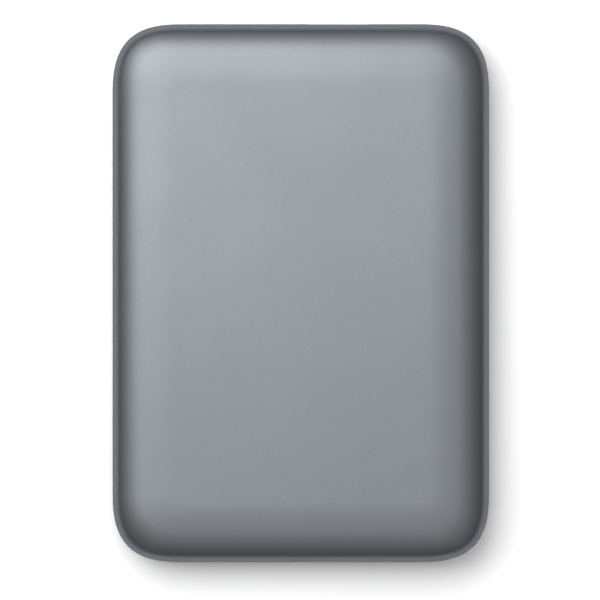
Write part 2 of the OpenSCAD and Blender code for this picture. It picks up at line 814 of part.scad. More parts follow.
module disc_clamp() {
  seat = platter_z + platter_t;
  color(steel) in_drive() at_spindle(0) difference() {
    translate([0, 0, seat]) cylinder(r = flange_r, h = clamp_top_z - seat);
    translate([0, 0, platter_z]) cylinder(r = hub_r + 0.3, h = boss_top_z - platter_z);
    translate([0, 0, platter_z]) cylinder(r = 3, h = 3);
    round_spindle(6) translate([clamp_screw_r, 0, platter_z]) cylinder(r = 0.8, h = 3);
    round_spindle(6, 30) translate([clamp_screw_r + 0.8, 0, platter_z]) cylinder(r = 1, h = 3);
  }
}

module clamp_screws() {
  color(steel) in_drive() at_spindle(clamp_top_z) round_spindle(6) translate([clamp_screw_r, 0, 0]) {
    flat_screw(1.2, 0.4, 0.65, 1.5);
  }
}

// Pivot: a fixed shaft with two rows of balls in a turning housing
module at_pivot(z) {
  translate([pivot[0], pivot[1], z]) children();
}

module ball_grooves() {
  for (z = ball_rows) translate([0, 0, z]) {
    rotate_extrude() translate([ball_track_r, 0]) circle(ball_r + 0.03);
  }
}

module pivot_shaft() {
  color(steel) in_drive() at_pivot(0) difference() {
    union() {
      translate([0, 0, bay_floor_z]) cylinder(r = 2.6, h = 0.2);
      translate([0, 0, bay_floor_z]) cylinder(r = 2.35, h = arm_top_z - bay_floor_z);
    }
    ball_grooves();
  }
}

module pivot_balls() {
  color(steel) in_drive() at_pivot(0) for (z = ball_rows) for (i = [0:8]) rotate([0, 0, 40 * i]) {
    translate([ball_track_r, 0, z]) sphere(r = ball_r);
  }
}

module pivot_housing() {
  color(steel) in_drive() at_pivot(0) difference() {
    translate([0, 0, arm_low_z + 0.1]) cylinder(r = arm_bore_r, h = arm_top_z - arm_low_z - 0.15);
    translate([0, 0, bay_floor_z]) cylinder(r = 2.95, h = 5);
    ball_grooves();
  }
}

// Head arm, drawn along +X and turned to its parked angle about the pivot
module at_arm(z) {
  in_drive() at_pivot(z) rotate([0, 0, parked_angle]) children();
}

module arm_blade(z) {
  translate([0, 0, z]) linear_extrude(arm_t) difference() {
    polygon([[3.5, -4.6], [10, -3.6], [24, -2], [24, 2], [10, 3.6], [3.5, 4.6]]);
    polygon([[9.5, -1.9], [17, -1.1], [17, 1.1], [9.5, 1.9]]);
    translate([21.5, 0]) circle(0.9);
  }
}

module head_arm() {
  color(cast_alloy) at_arm(0) difference() {
    union() {
      translate([0, 0, arm_low_z]) cylinder(r = arm_hub_r, h = arm_top_z - arm_low_z);
      arm_blade(arm_low_z);
      arm_blade(arm_high_z);
      for (side = [-1, 1]) translate([0, 0, coil_z]) linear_extrude(coil_t)
        polygon([[-4, side * 2.2], [-4.6, side * 4.4], [-8.3, side * 3.7], [-8.6, side * 2.4]]);
    }
    translate([0, 0, arm_low_z - 1]) cylinder(r = arm_bore_r, h = 5);
    translate([0, 0, coil_z - 1]) linear_extrude(coil_t + 2) polygon(frame_outline());
  }
}

// Outline of the coil, a ring sector on the far side of the pivot, and of the frame round it
function coil_outline(r0, r1, half) = sector([0, 0], r0, r1, 180 - half, 180 + half);
function frame_outline() = coil_outline(8.7, 17, coil_half + 4);

module coil_frame() {
  color(plastic_black) at_arm(coil_z) linear_extrude(coil_t) difference() {
    polygon(frame_outline());
    polygon(coil_outline(9.2, 16.4, coil_half));
  }
}

module voice_coil() {
  color(copper) at_arm(coil_z + 0.05) linear_extrude(coil_t - 0.1) difference() {
    polygon(coil_outline(9.2, 16.4, coil_half));
    polygon(coil_outline(11, 14.6, coil_half - 7.5));
  }
}

// Sprung beam that carries a head, with the lift tab at its tip
module load_beam() {
  linear_extrude(beam_t) difference() {
    polygon([
      [19.6, -1.8], [24.5, -1.8], [31, -0.7], [34, -0.3], [34, 0.3], [31, 0.7], [24.5, 1.8], [19.6, 1.8]
    ]);
    polygon([[25.2, -0.7], [28.6, -0.3], [28.6, 0.3], [25.2, 0.7]]);
  }
}

module upper_suspension() {
  color(steel) at_arm(arm_high_z - beam_t) load_beam();
}

module lower_suspension() {
  color(steel) at_arm(arm_low_z + arm_t) load_beam();
}

module head_slider(z0, z1) {
  color(chip_black) at_arm(0) block([head_reach - 0.62, -0.5, z0], [head_reach + 0.62, 0.5, z1]);
}

module upper_head() {
  head_slider(platter_z + platter_t + 0.02, arm_high_z - beam_t);
}

module lower_head() {
  head_slider(arm_low_z + arm_t + beam_t, platter_z - 0.02);
}

// Parking ramp: a block under and between the two beam tips, slotted for the platter's edge
module parking_ramp() {
  finger_low_z = arm_low_z + arm_t + beam_t + 0.04;
  finger_high_z = arm_high_z - beam_t - 0.04;
  screw_at = polar(pivot, 36.4, parked_angle);
  color(felt_white) in_drive() difference() {
    union() {
      plate(sector(pivot, 32.6, 34.3, parked_angle - 4.5, parked_angle + 7, 8), finger_low_z, finger_high_z);
      plate(sector(pivot, 34.15, 38.3, parked_angle - 4.5, parked_angle + 5, 8), bay_floor_z, 5.6);
    }
    at_spindle(platter_z - 0.06) cylinder(r = platter_r + 0.4, h = platter_t + 0.12);
    translate([screw_at[0], screw_at[1], bay_floor_z - 1]) cylinder(r = 0.7, h = 6);
  }
}

// Voice coil motor: two steel yokes with a magnet on each, held apart by two posts
module at_yoke_posts(r, inset, z) {
  for (a = [yoke_from + inset, yoke_to - inset]) let (p = polar(pivot, r, a)) {
    translate([p[0], p[1], z]) children();
  }
}

module lower_yoke() {
  color(steel) in_drive() union() {
    plate(sector(pivot, yoke_r[0], yoke_r[1], yoke_from, yoke_to, 16), yoke_low_z, yoke_low_z + yoke_t);
    at_yoke_posts(15, 4.5, yoke_low_z) cylinder(r = 1, h = yoke_high_z - yoke_low_z);
  }
}

module upper_yoke() {
  color(steel) in_drive() difference() {
    plate(sector(pivot, yoke_r[0], yoke_r[1], yoke_from, yoke_to, 16), yoke_high_z, yoke_high_z + yoke_t);
    at_yoke_posts(15, 4.5, yoke_high_z - 1) cylinder(r = 0.6, h = 3);
  }
}

module yoke_magnet(z0, z1) {
  color(cast_alloy) in_drive() plate(sector(pivot, 8.9, 16.9, yoke_from + 12, yoke_to - 12, 16), z0, z1);
}

module lower_magnet() {
  yoke_magnet(yoke_low_z + yoke_t, yoke_low_z + yoke_t + 0.5);
}

module upper_magnet() {
  yoke_magnet(yoke_high_z - 0.35, yoke_high_z);
}

module crash_stops() {
  color(rubber_black) in_drive() at_yoke_posts(9.6, 5, yoke_low_z + yoke_t) {
    cylinder(r = 0.7, h = yoke_high_z - yoke_low_z - yoke_t);
  }
}

// Flex circuit: a film on edge from its bracket to the hub of the arm
module head_flex() {
  film_r = arm_hub_r + 0.3;
  from = 95;
  start = polar(pivot, film_r + film_t / 2, from);
  clip = [bracket_high[0], bracket_high[1] - 4];
  color(amber_film) in_drive() union() {
    plate(sector(pivot, film_r, film_r + film_t, from, 150), film_z[0], film_z[1]);
    plate(
      [start - [0, film_t / 2], start + [0, film_t / 2], clip, clip - [0, film_t]], film_z[0], film_z[1]
    );
  }
}

module flex_bracket() {
  size = bracket_high - bracket_low;
  color(plastic_black) in_drive() difference() {
    plate(rounded((bracket_low + bracket_high) / 2, size[0], size[1], 1, 4), bay_floor_z, bay_floor_z + 2.6);
    for (p = [bracket_low + [2, 2], bracket_high - [2, 2]]) translate([p[0], p[1], bay_floor_z - 1]) {
      cylinder(r = 0.7, h = 5);
    }
    block(
      [bracket_low[0] + 4, bracket_low[1] + 2, bay_floor_z + 1.9],
      [bracket_high[0] - 4, bracket_high[1] - 2, bay_floor_z + 3]
    );
  }
}

module air_filter() {
  color(felt_white) in_drive() plate(rounded([-20.5, 33.9], 7.5, 8, 1.5, 4), bay_floor_z, bay_floor_z + 2.4);
}

top_cover();
bottom_tray();
foot(-1, 1);  // foot_front_left
foot(1, 1);  // foot_front_right
foot(-1, -1);  // foot_rear_left
foot(1, -1);  // foot_rear_right
bumper(-1, front_hole_y);  // bumper_front_left
bumper(1, front_hole_y);  // bumper_front_right
bumper(-1, rear_hole_y);  // bumper_rear_left
bumper(1, rear_hole_y);  // bumper_rear_right
port_shell();
port_tongues();
port_contacts();
light_pipe();
activity_light();
bridge_board();
bridge_chip();
bridge_small_parts();
board_socket();
board_socket_contacts();
shield_foil();
drive_base();
drive_cover();
cover_gasket();
cover_screws();
drive_board();
chip(-4, 30.4, 10, 10);  // controller_chip
chip(12, 27.4, 7, 7);  // motor_chip
chip(-17, 36.4, 9, 6);  // memory_chip
drive_board_screws();
drive_plug();
drive_plug_contacts();
spindle_sleeve();
stator_core();
stator_coils();
spindle_shaft();
spindle_hub();
rotor_magnet();
platter();
disc_clamp();
clamp_screws();
pivot_shaft();
pivot_balls();
pivot_housing();
head_arm();
coil_frame();
voice_coil();
upper_suspension();
lower_suspension();
upper_head();
lower_head();
parking_ramp();
lower_yoke();
upper_yoke();
lower_magnet();
upper_magnet();
crash_stops();
head_flex();
flex_bracket();
air_filter();
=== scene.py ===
"""Looks of a portable external hard drive: two moulded shells, their feet and port, and the drive inside.

The case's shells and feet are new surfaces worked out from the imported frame. Every other piece keeps its own
solid and gets the finish of its real material.
"""
import json
import math

import bpy
import numpy as np
from bpy.props import FloatProperty, FloatVectorProperty, PointerProperty
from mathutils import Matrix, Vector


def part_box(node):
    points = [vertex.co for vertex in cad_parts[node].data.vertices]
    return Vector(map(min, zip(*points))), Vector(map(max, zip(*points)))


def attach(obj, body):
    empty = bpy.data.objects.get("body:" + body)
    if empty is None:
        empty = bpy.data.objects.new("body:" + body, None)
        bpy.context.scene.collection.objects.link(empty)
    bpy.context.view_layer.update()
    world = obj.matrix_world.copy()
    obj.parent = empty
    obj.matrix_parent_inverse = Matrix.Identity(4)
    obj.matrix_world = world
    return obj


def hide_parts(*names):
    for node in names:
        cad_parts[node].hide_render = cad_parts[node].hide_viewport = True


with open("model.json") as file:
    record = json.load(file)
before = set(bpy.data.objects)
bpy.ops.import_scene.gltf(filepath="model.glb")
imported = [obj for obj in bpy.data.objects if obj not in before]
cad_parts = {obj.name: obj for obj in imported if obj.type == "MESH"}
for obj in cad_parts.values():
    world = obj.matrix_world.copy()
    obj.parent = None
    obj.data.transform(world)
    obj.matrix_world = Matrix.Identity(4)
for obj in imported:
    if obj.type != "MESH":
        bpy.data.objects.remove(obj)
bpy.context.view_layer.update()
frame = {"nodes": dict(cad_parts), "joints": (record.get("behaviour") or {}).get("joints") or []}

bl_info = {
    "name": "Portable hard drive",
    "version": (1, 0, 0),
    "blender": (4, 5, 0),
    "location": "3D View > Sidebar > Portable drive",
    "description": "Builds the case, the port and the finishes of a portable external hard drive",
    "category": "Object",
}

MM = 0.001

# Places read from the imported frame, in metres
COVER_LOW, COVER_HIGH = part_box("top_cover")
TRAY_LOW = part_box("bottom_tray")[0]
FOOT_LOW, FOOT_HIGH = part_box("foot_front_right")
PORT_LOW, PORT_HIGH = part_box("port_shell")
PIPE_LOW, PIPE_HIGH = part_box("light_pipe")
HALF_WIDTH, HALF_LENGTH, CASE_TOP = COVER_HIGH
COVER_RIM = COVER_LOW.z
FOOT_R = (FOOT_HIGH.x - FOOT_LOW.x) / 2
DRIVE_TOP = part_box("drive_cover")[1].z
JOINT_PLACES = {joint["name"]: joint["pos_m"] for joint in frame["joints"]}
SPINDLE, PIVOT = JOINT_PLACES["spindle_turn"], JOINT_PLACES["arm_swing"]

# Sizes of the mouldings that the frame doesn't give, in metres
FLAT_OUTSIDE, FLAT_INSIDE = 0.6 * MM, 1 * MM  # how far past a curved band the flat face's own outline lies
ROOTED = 0.4 * MM  # how deep a rib stands in its wall
SEAM_GAP = 0.2 * MM
LIP_HEIGHT, LIP_CHAMFER = 1.3 * MM, 0.2 * MM
SNAP_TOP, SNAP_HALF, SNAP_BARB = 8.4 * MM, 3 * MM, 0.5 * MM
CUT_DEPTH = 2.6 * MM  # from the end face to behind the wall
PORT_HALF_HEIGHT, PORT_PLAY, PORT_CORNER, PORT_FLARE = 1.25 * MM, 0.35 * MM, 0.6 * MM, 0.25 * MM
LIGHT_HEIGHT, LIGHT_R, LIGHT_FLARE = 8.4 * MM, 0.9 * MM, 0.12 * MM
EDGE_DROP = 5.4 * MM  # from the top down to where the cover's wall turns upright
SHARP = math.radians(35)  # an edge that turns more than this shades as a sharp one

# Noise runs from 0 to 1 but stays mostly between these
NOISE_SPAN = {"From Min": 0.3, "From Max": 0.7}


def linear(code):
    """Turns an sRGB hex value into the linear colour that a shader takes."""
    srgb = np.array([int(code[i:i + 2], 16) for i in (0, 2, 4)]) / 255
    return (*np.where(srgb <= 0.04045, srgb / 12.92, ((srgb + 0.055) / 1.055) ** 2.4).tolist(), 1.0)


class CaseShape(bpy.types.PropertyGroup):
    """Sizes of the two moulded shells."""

    wall: FloatProperty(
        name="Wall", description="Thickness of the moulded walls", default=1.6 * MM, min=1.2 * MM, max=2 * MM,
        unit="LENGTH", precision=5)
    corner_reach: FloatProperty(
        name="Corner reach", description="How far each plan corner runs along a side", default=15.7 * MM,
        min=14 * MM, max=18 * MM, unit="LENGTH", precision=5)
    corner_power: FloatProperty(
        name="Corner squareness", description="Power of the plan corners, where 2 is round", default=2.9,
        min=2, max=4)
    crown_reach: FloatProperty(
        name="Crown reach", description="Width of the band that curves down to the side", default=13 * MM,
        min=11 * MM, max=14 * MM, unit="LENGTH", precision=5)
    crown_slope: FloatProperty(
        name="Crown slope", description="Slope where the soft crown turns to the shoulder",
        default=math.radians(7), min=math.radians(5), max=math.radians(9), subtype="ANGLE")
    shoulder_slope: FloatProperty(
        name="Shoulder slope", description="Slope where the shoulder turns to the edge",
        default=math.radians(30), min=math.radians(25), max=math.radians(35), subtype="ANGLE")
    shoulder_radius: FloatProperty(
        name="Shoulder radius", description="Radius of the shoulder", default=12 * MM, min=10 * MM,
        max=13 * MM, unit="LENGTH", precision=5)
    edge_radius: FloatProperty(
        name="Edge radius", description="Radius of the cover's edge", default=4 * MM, min=3.5 * MM,
        max=4.4 * MM, unit="LENGTH", precision=5)
    tray_reach: FloatProperty(
        name="Tray reach", description="Width of the tray's curved band", default=6.5 * MM, min=6 * MM,
        max=7 * MM, unit="LENGTH", precision=5)
    tray_radius: FloatProperty(
        name="Tray radius", description="Radius of the tray's lower edge", default=3.6 * MM, min=3 * MM,
        max=4 * MM, unit="LENGTH", precision=5)
    tray_slope: FloatProperty(
        name="Tray slope", description="Slope where the tray's sweep turns to its edge",
        default=math.radians(12), min=math.radians(8), max=math.radians(15), subtype="ANGLE")
    lip_gap: FloatProperty(
        name="Lip gap", description="Play between the tray's lip and the cover's wall", default=0.15 * MM,
        min=0.1 * MM, max=0.3 * MM, unit="LENGTH", precision=5)
    lip_wall: FloatProperty(
        name="Lip wall", description="Thickness of the tray's lip", default=0.8 * MM, min=0.6 * MM,
        max=1 * MM, unit="LENGTH", precision=5)
    seam_round: FloatProperty(
        name="Seam rounding", description="Radius on both edges of the joint between the shells",
        default=0.2 * MM, min=0.05 * MM, max=0.3 * MM, unit="LENGTH", precision=5)


class CaseFinish(bpy.types.PropertyGroup):
    """Colours of the outside and how rough the lacquer is."""

    cover_colour: FloatVectorProperty(
        name="Cover colour", description="Silver grey lacquer of the cover", subtype="COLOR", size=4, min=0,
        max=1, default=linear("808488"))
    tray_colour: FloatVectorProperty(
        name="Tray colour", description="Darker grey plastic of the tray", subtype="COLOR", size=4, min=0,
        max=1, default=linear("5E6266"))
    rubber_colour: FloatVectorProperty(
        name="Rubber colour", description="Near black of the feet", subtype="COLOR", size=4, min=0, max=1,
        default=linear("1C1C1E"))
    gloss: FloatProperty(
        name="Lacquer roughness", description="Roughness of the cover's satin lacquer", default=0.432,
        min=0.2, max=0.7, subtype="FACTOR")
    grain: FloatProperty(
        name="Grain", description="Size at which the flakes in the lacquer show", default=0.22 * MM,
        min=0.1 * MM, max=1 * MM, unit="LENGTH", precision=5)


class StageSettings(bpy.types.PropertyGroup):
    """The floor, the soft panels, the dim room and the camera."""

    frame_width: FloatProperty(
        name="Frame width", description="Width that the picture covers at the case's widest line",
        default=127.5 * MM, unit="LENGTH", precision=5)
    aim: FloatVectorProperty(
        name="Aim", description="Point of the floor that the camera stands over", size=2,
        default=(-0.17 * MM, -1.44 * MM), unit="LENGTH", precision=5)
    camera_height: FloatProperty(
        name="Camera height", description="Height of the camera over the floor", default=1.0, unit="LENGTH")
    key_place: FloatVectorProperty(
        name="Key place", description="Middle of the soft key panel, up and to the left of the case", size=3,
        default=(-0.316, 0.368, 0.75), unit="LENGTH")
    key_size: FloatVectorProperty(
        name="Key size", description="Width and length of the key panel", size=2, default=(0.788, 0.724),
        unit="LENGTH")
    key_strength: FloatProperty(
        name="Key strength", description="Brightness of the key panel, where 1 is white", default=3.16, min=0)
    fill_place: FloatVectorProperty(
        name="Fill place", description="Middle of the wide, weak fill panel", size=3,
        default=(0.213, 0.117, 0.8), unit="LENGTH")
    fill_size: FloatVectorProperty(
        name="Fill size", description="Width and length of the fill panel", size=2, default=(1.158, 2.355),
        unit="LENGTH")
    fill_strength: FloatProperty(
        name="Fill strength", description="Brightness of the fill panel, where 1 is white", default=0.16,
        min=0)
    room_low: FloatProperty(
        name="Room, low", description="Brightness of the room near the floor", default=0.03, min=0)
    room_high: FloatProperty(
        name="Room, high", description="Brightness of the room overhead", default=0.66, min=0)
    floor_white: FloatProperty(
        name="Floor white", description="How far past white the camera sees the open floor", default=1.36,
        min=1)
    mirrored_white: FloatProperty(
        name="Mirrored white", description="How bright reflections see the open floor", default=1.15, min=0)
    near_floor: FloatVectorProperty(
        name="Near floor", description="Distances at which the floor starts and ends turning to plain white",
        size=2, default=(0.15, 0.35), unit="LENGTH")


# Finishes

def add(tree, kind, values=None, links=None, **settings):
    """Adds one shader node with its settings, the values of its sockets and the links into it."""
    new = tree.nodes.new(kind)
    for key, value in settings.items():
        setattr(new, key, value)
    for key, value in (values or {}).items():
        new.inputs[key].default_value = value
    for key, source in (links or {}).items():
        output = source if isinstance(source, bpy.types.NodeSocket) else source.outputs[0]
        tree.links.new(output, new.inputs[key])
    return new


def begin(name):
    """Starts a material and returns it with its empty node tree and its Object coordinates."""
    material = bpy.data.materials.new(name)
    material.use_nodes = True
    tree = material.node_tree
    tree.nodes.clear()
    return material, tree, add(tree, "ShaderNodeTexCoord").outputs["Object"]


def shaded(colour, amount):
    """A linear colour made lighter or darker by a factor."""
    return (*[min(1.0, channel * amount) for channel in colour[:3]], 1.0)


def waves(tree, distance, pitch):
    """Sine of a distance, with one wave for each pitch."""
    turns = add(tree, "ShaderNodeMath", {1: 2 * math.pi / pitch}, {0: distance}, operation="MULTIPLY")
    return add(tree, "ShaderNodeMath", links={0: turns}, operation="SINE")


def rings(tree, place, centre, pitch):
    """Waves of the distance from an upright axis, which is the length of the offset in plan from its centre."""
    arm = add(tree, "ShaderNodeVectorMath", {1: centre}, {0: place}, operation="SUBTRACT")
    flat = add(tree, "ShaderNodeVectorMath", {1: (1, 1, 0)}, {0: arm}, operation="MULTIPLY")
    radius = add(tree, "ShaderNodeVectorMath", links={0: flat}, operation="LENGTH").outputs["Value"]
    return waves(tree, radius, pitch)


def flake_lacquer(name, colour, roughness, grain):
    """Satin metallic lacquer sprayed on moulded ABS.

    Aluminium flakes lie flat in it, so the level face is bright, and a fine soft speckle shows. Seen along
    the surface, the blue-grey binder hides them, so the specular tint dims the rim. Real flakes are near
    0.03 mm, so they are drawn coarser to show at all. A slow orange peel breaks the highlights' edges.
    """
    material, tree, place = begin(name)
    flakes = add(tree, "ShaderNodeTexNoise", {"Scale": 1 / grain, "Detail": 3, "Roughness": 0.6}, {
        "Vector": place})
    peel = add(tree, "ShaderNodeTexNoise", {"Scale": 1 / (1.4 * MM), "Detail": 1}, {"Vector": place})
    cloud = add(tree, "ShaderNodeTexNoise", {"Scale": 1 / (17 * MM), "Detail": 2}, {"Vector": place})
    speckle = add(tree, "ShaderNodeMapRange", NOISE_SPAN, {"Value": flakes})
    tone = add(tree, "ShaderNodeMix", {6: shaded(colour, 0.92), 7: shaded(colour, 1.08)}, {0: speckle},
               data_type="RGBA")
    rough = add(tree, "ShaderNodeMapRange", {
        **NOISE_SPAN, "To Min": roughness - 0.012, "To Max": roughness + 0.012}, {"Value": cloud})
    fine = add(tree, "ShaderNodeBump", {"Distance": 0.003 * MM}, {"Height": flakes})
    soft = add(tree, "ShaderNodeBump", {"Distance": 0.002 * MM}, {"Height": peel, "Normal": fine})
    shader = add(tree, "ShaderNodeBsdfPrincipled", {"Metallic": 0.97, "Specular Tint": linear("B4BCC6")}, {
        "Base Color": tone.outputs[2], "Roughness": rough, "Normal": soft})
    add(tree, "ShaderNodeOutputMaterial", links={"Surface": shader})
    return material


def moulded_plastic(name, colour, roughness=0.5, grain=0.35 * MM, depth=0.008 * MM):
    """Injection-moulded plastic from a spark-eroded tool: a fine even grain turns highlights to a soft sheen.

    The real pits are near 0.05 mm, so they are drawn coarser to show at all.
    """
    material, tree, place = begin(name)
    pits = add(tree, "ShaderNodeTexNoise", {"Scale": 1 / grain, "Detail": 3, "Roughness": 0.6}, {
        "Vector": place})
    flow = add(tree, "ShaderNodeTexNoise", {"Scale": 1 / (14 * MM), "Detail": 1}, {"Vector": place})
    tone = add(tree, "ShaderNodeMix", {6: shaded(colour, 0.93), 7: shaded(colour, 1.07)}, {0: flow},
               data_type="RGBA")
    rough = add(tree, "ShaderNodeMapRange", {
        **NOISE_SPAN, "To Min": roughness - 0.06, "To Max": roughness + 0.06}, {"Value": pits})
    relief = add(tree, "ShaderNodeBump", {"Distance": depth}, {"Height": pits})
    shader = add(tree, "ShaderNodeBsdfPrincipled", {"IOR": 1.53}, {
        "Base Color": tone.outputs[2], "Roughness": rough, "Normal": relief})
    add(tree, "ShaderNodeOutputMaterial", links={"Surface": shader})
    return material


def moulded_rubber(name, colour):
    """Moulded rubber: dull and nearly black, with pale dust held in its grain.

    The real grain is near 0.1 mm, so it is drawn at 0.25 mm to show at all.
    """
    material, tree, place = begin(name)
    grain = add(tree, "ShaderNodeTexNoise", {"Scale": 1 / (0.25 * MM), "Detail": 3}, {"Vector": place})
    dust = add(tree, "ShaderNodeTexNoise", {"Scale": 1 / (2.4 * MM), "Detail": 3, "Roughness": 0.7}, {
        "Vector": place})
    worn = add(tree, "ShaderNodeMapRange", {"From Min": 0.42, "From Max": 0.75}, {"Value": dust})
    tone = add(tree, "ShaderNodeMix", {6: colour, 7: shaded(colour, 2.2)}, {0: worn}, data_type="RGBA")
    rough = add(tree, "ShaderNodeMapRange", {"To Min": 0.7, "To Max": 0.92}, {"Value": grain})
    relief = add(tree, "ShaderNodeBump", {"Distance": 0.014 * MM}, {"Height": grain})
    shader = add(tree, "ShaderNodeBsdfPrincipled", {"IOR": 1.43}, {
        "Base Color": tone.outputs[2], "Roughness": rough, "Normal": relief})
    add(tree, "ShaderNodeOutputMaterial", links={"Surface": shader})
    return material


def rolled_metal(name, colour, roughness=0.3, line=0.07 * MM, length=6 * MM):
    """Rolled or ground sheet metal: close lines along X draw each highlight out across them.

    Real lines are near 0.02 mm wide, so they are drawn coarser to show at all.
    """
    material, tree, place = begin(name)
    drawn = add(tree, "ShaderNodeVectorMath", {1: (1 / length, 1 / line, 1 / line)}, {0: place},
                operation="MULTIPLY")
    lines = add(tree, "ShaderNodeTexNoise", {"Scale": 1, "Detail": 2}, {"Vector": drawn})
    tone = add(tree, "ShaderNodeMix", {6: shaded(colour, 0.88), 7: shaded(colour, 1.1)}, {0: lines},
               data_type="RGBA")
    rough = add(tree, "ShaderNodeMapRange", {
        **NOISE_SPAN, "To Min": roughness - 0.07, "To Max": roughness + 0.08}, {"Value": lines})
    relief = add(tree, "ShaderNodeBump", {"Distance": 0.0015 * MM}, {"Height": lines})
    shader = add(tree, "ShaderNodeBsdfPrincipled", {"Metallic": 1}, {
        "Base Color": tone.outputs[2], "Roughness": rough, "Normal": relief})
    add(tree, "ShaderNodeOutputMaterial", links={"Surface": shader})
    return material


def cast_metal(name, colour, roughness=0.45, grain=0.5 * MM, depth=0.02 * MM):
    """Cast or sintered metal: a pebbled skin, with duller clouds where the mould ran colder.

    The pebbles of the real skin are near 0.2 mm or less, so they are drawn coarser to show at all.
    """
    material, tree, place = begin(name)
    pebble = add(tree, "ShaderNodeTexNoise", {"Scale": 1 / grain, "Detail": 4, "Roughness": 0.6}, {
        "Vector": place})
    cloud = add(tree, "ShaderNodeTexNoise", {"Scale": 1 / (9 * MM), "Detail": 2}, {"Vector": place})
    tone = add(tree, "ShaderNodeMix", {6: shaded(colour, 0.92), 7: shaded(colour, 1.05)}, {0: cloud},
               data_type="RGBA")
    rough = add(tree, "ShaderNodeMapRange", {
        **NOISE_SPAN, "To Min": roughness - 0.03, "To Max": roughness + 0.03}, {"Value": cloud})
    relief = add(tree, "ShaderNodeBump", {"Distance": depth}, {"Height": pebble})
    shader = add(tree, "ShaderNodeBsdfPrincipled", {"Metallic": 1}, {
        "Base Color": tone.outputs[2], "Roughness": rough, "Normal": relief})
    add(tree, "ShaderNodeOutputMaterial", links={"Surface": shader})
    return material


def turned_metal(name, colour, centre, pitch=0.15 * MM, roughness=0.25, depth=0.0008 * MM):
    """Lathe-turned or ground metal: rings about the axis it was turned on catch the light as fine arcs.

    The tool's real marks are near 0.05 mm apart, so they are drawn coarser to show at all.
    """
    material, tree, place = begin(name)
    groove = rings(tree, place, centre, pitch)
    wear = add(tree, "ShaderNodeTexNoise", {"Scale": 1 / (1.5 * MM), "Detail": 2}, {"Vector": place})
    tone = add(tree, "ShaderNodeMix", {6: shaded(colour, 0.9), 7: shaded(colour, 1.07)}, {0: wear},
               data_type="RGBA")
    rough = add(tree, "ShaderNodeMapRange", {
        "From Min": -1, "To Min": roughness - 0.05, "To Max": roughness + 0.08}, {"Value": groove})
    relief = add(tree, "ShaderNodeBump", {"Distance": depth}, {"Height": groove})
    shader = add(tree, "ShaderNodeBsdfPrincipled", {"Metallic": 1}, {
        "Base Color": tone.outputs[2], "Roughness": rough, "Normal": relief})
    add(tree, "ShaderNodeOutputMaterial", links={"Surface": shader})
    return material


def solder_mask(name, colour):
    """Screened solder mask over etched copper: a clear gloss, with raised tracks that show lighter through it.

    The tracks are 0.11 mm wide and 0.5 mm apart.
    """
    material, tree, place = begin(name)
    tracks = add(tree, "ShaderNodeTexBrick", {
        "Scale": 1 / (1.6 * MM), "Mortar Size": 0.07, "Brick Width": 0.9, "Row Height": 0.31,
        "Color1": (0, 0, 0, 1), "Color2": (0, 0, 0, 1), "Mortar": (1, 1, 1, 1)}, {
        "Vector": place}).outputs["Fac"]
    tone = add(tree, "ShaderNodeMix", {6: colour, 7: shaded(colour, 2.1)}, {0: tracks}, data_type="RGBA")
    relief = add(tree, "ShaderNodeBump", {"Distance": 0.03 * MM}, {"Height": tracks})
    shader = add(tree, "ShaderNodeBsdfPrincipled", {"IOR": 1.55, "Roughness": 0.28, "Coat Weight": 0.3}, {
        "Base Color": tone.outputs[2], "Normal": relief})
    add(tree, "ShaderNodeOutputMaterial", links={"Surface": shader})
    return material


def moulded_epoxy(name, colour):
    """Transfer-moulded chip package: matt black epoxy whose pale silica filler sparkles faintly, partly as
    painted glint.

    Real filler is near 0.03 mm, so it is drawn at 0.1 mm to show at all.
    """
    material, tree, place = begin(name)
    sand = add(tree, "ShaderNodeTexNoise", {"Scale": 1 / (0.1 * MM), "Detail": 3}, {"Vector": place})
    # Partly painted glint: specks up to twice as light stand for both the pale filler and its sparkle
    filler_and_painted_glint = add(tree, "ShaderNodeMapRange", {"From Min": 0.4, "From Max": 0.75}, {"Value": sand})
    tone = add(tree, "ShaderNodeMix", {6: colour, 7: shaded(colour, 2)}, {0: filler_and_painted_glint}, data_type="RGBA")
    rough = add(tree, "ShaderNodeMapRange", {"To Min": 0.48, "To Max": 0.66}, {"Value": sand})
    relief = add(tree, "ShaderNodeBump", {"Distance": 0.006 * MM}, {"Height": sand})
    shader = add(tree, "ShaderNodeBsdfPrincipled", {"IOR": 1.55}, {
        "Base Color": tone.outputs[2], "Roughness": rough, "Normal": relief})
    add(tree, "ShaderNodeOutputMaterial", links={"Surface": shader})
    return material


def plated_gold(name, colour):
    """Gold flashed over nickel on a contact: warm and bright, wiped paler along the plug's stroke.

    Real wipe marks are near 0.01 mm wide, so they are drawn at 0.05 mm to show at all.
    """
    material, tree, place = begin(name)
    stroke = add(tree, "ShaderNodeVectorMath", {1: (1 / (0.05 * MM), 1 / (1.5 * MM), 1 / (0.05 * MM))},
                 {0: place}, operation="MULTIPLY")
    wipe = add(tree, "ShaderNodeTexNoise", {"Scale": 1, "Detail": 2}, {"Vector": stroke})
    tone = add(tree, "ShaderNodeMix", {6: shaded(colour, 0.85), 7: shaded(colour, 1.1)}, {0: wipe},
               data_type="RGBA")
    rough = add(tree, "ShaderNodeMapRange", {"To Min": 0.16, "To Max": 0.36}, {"Value": wipe})
    shader = add(tree, "ShaderNodeBsdfPrincipled", {"Metallic": 1}, {
        "Base Color": tone.outputs[2], "Roughness": rough})
    add(tree, "ShaderNodeOutputMaterial", links={"Surface": shader})
    return material


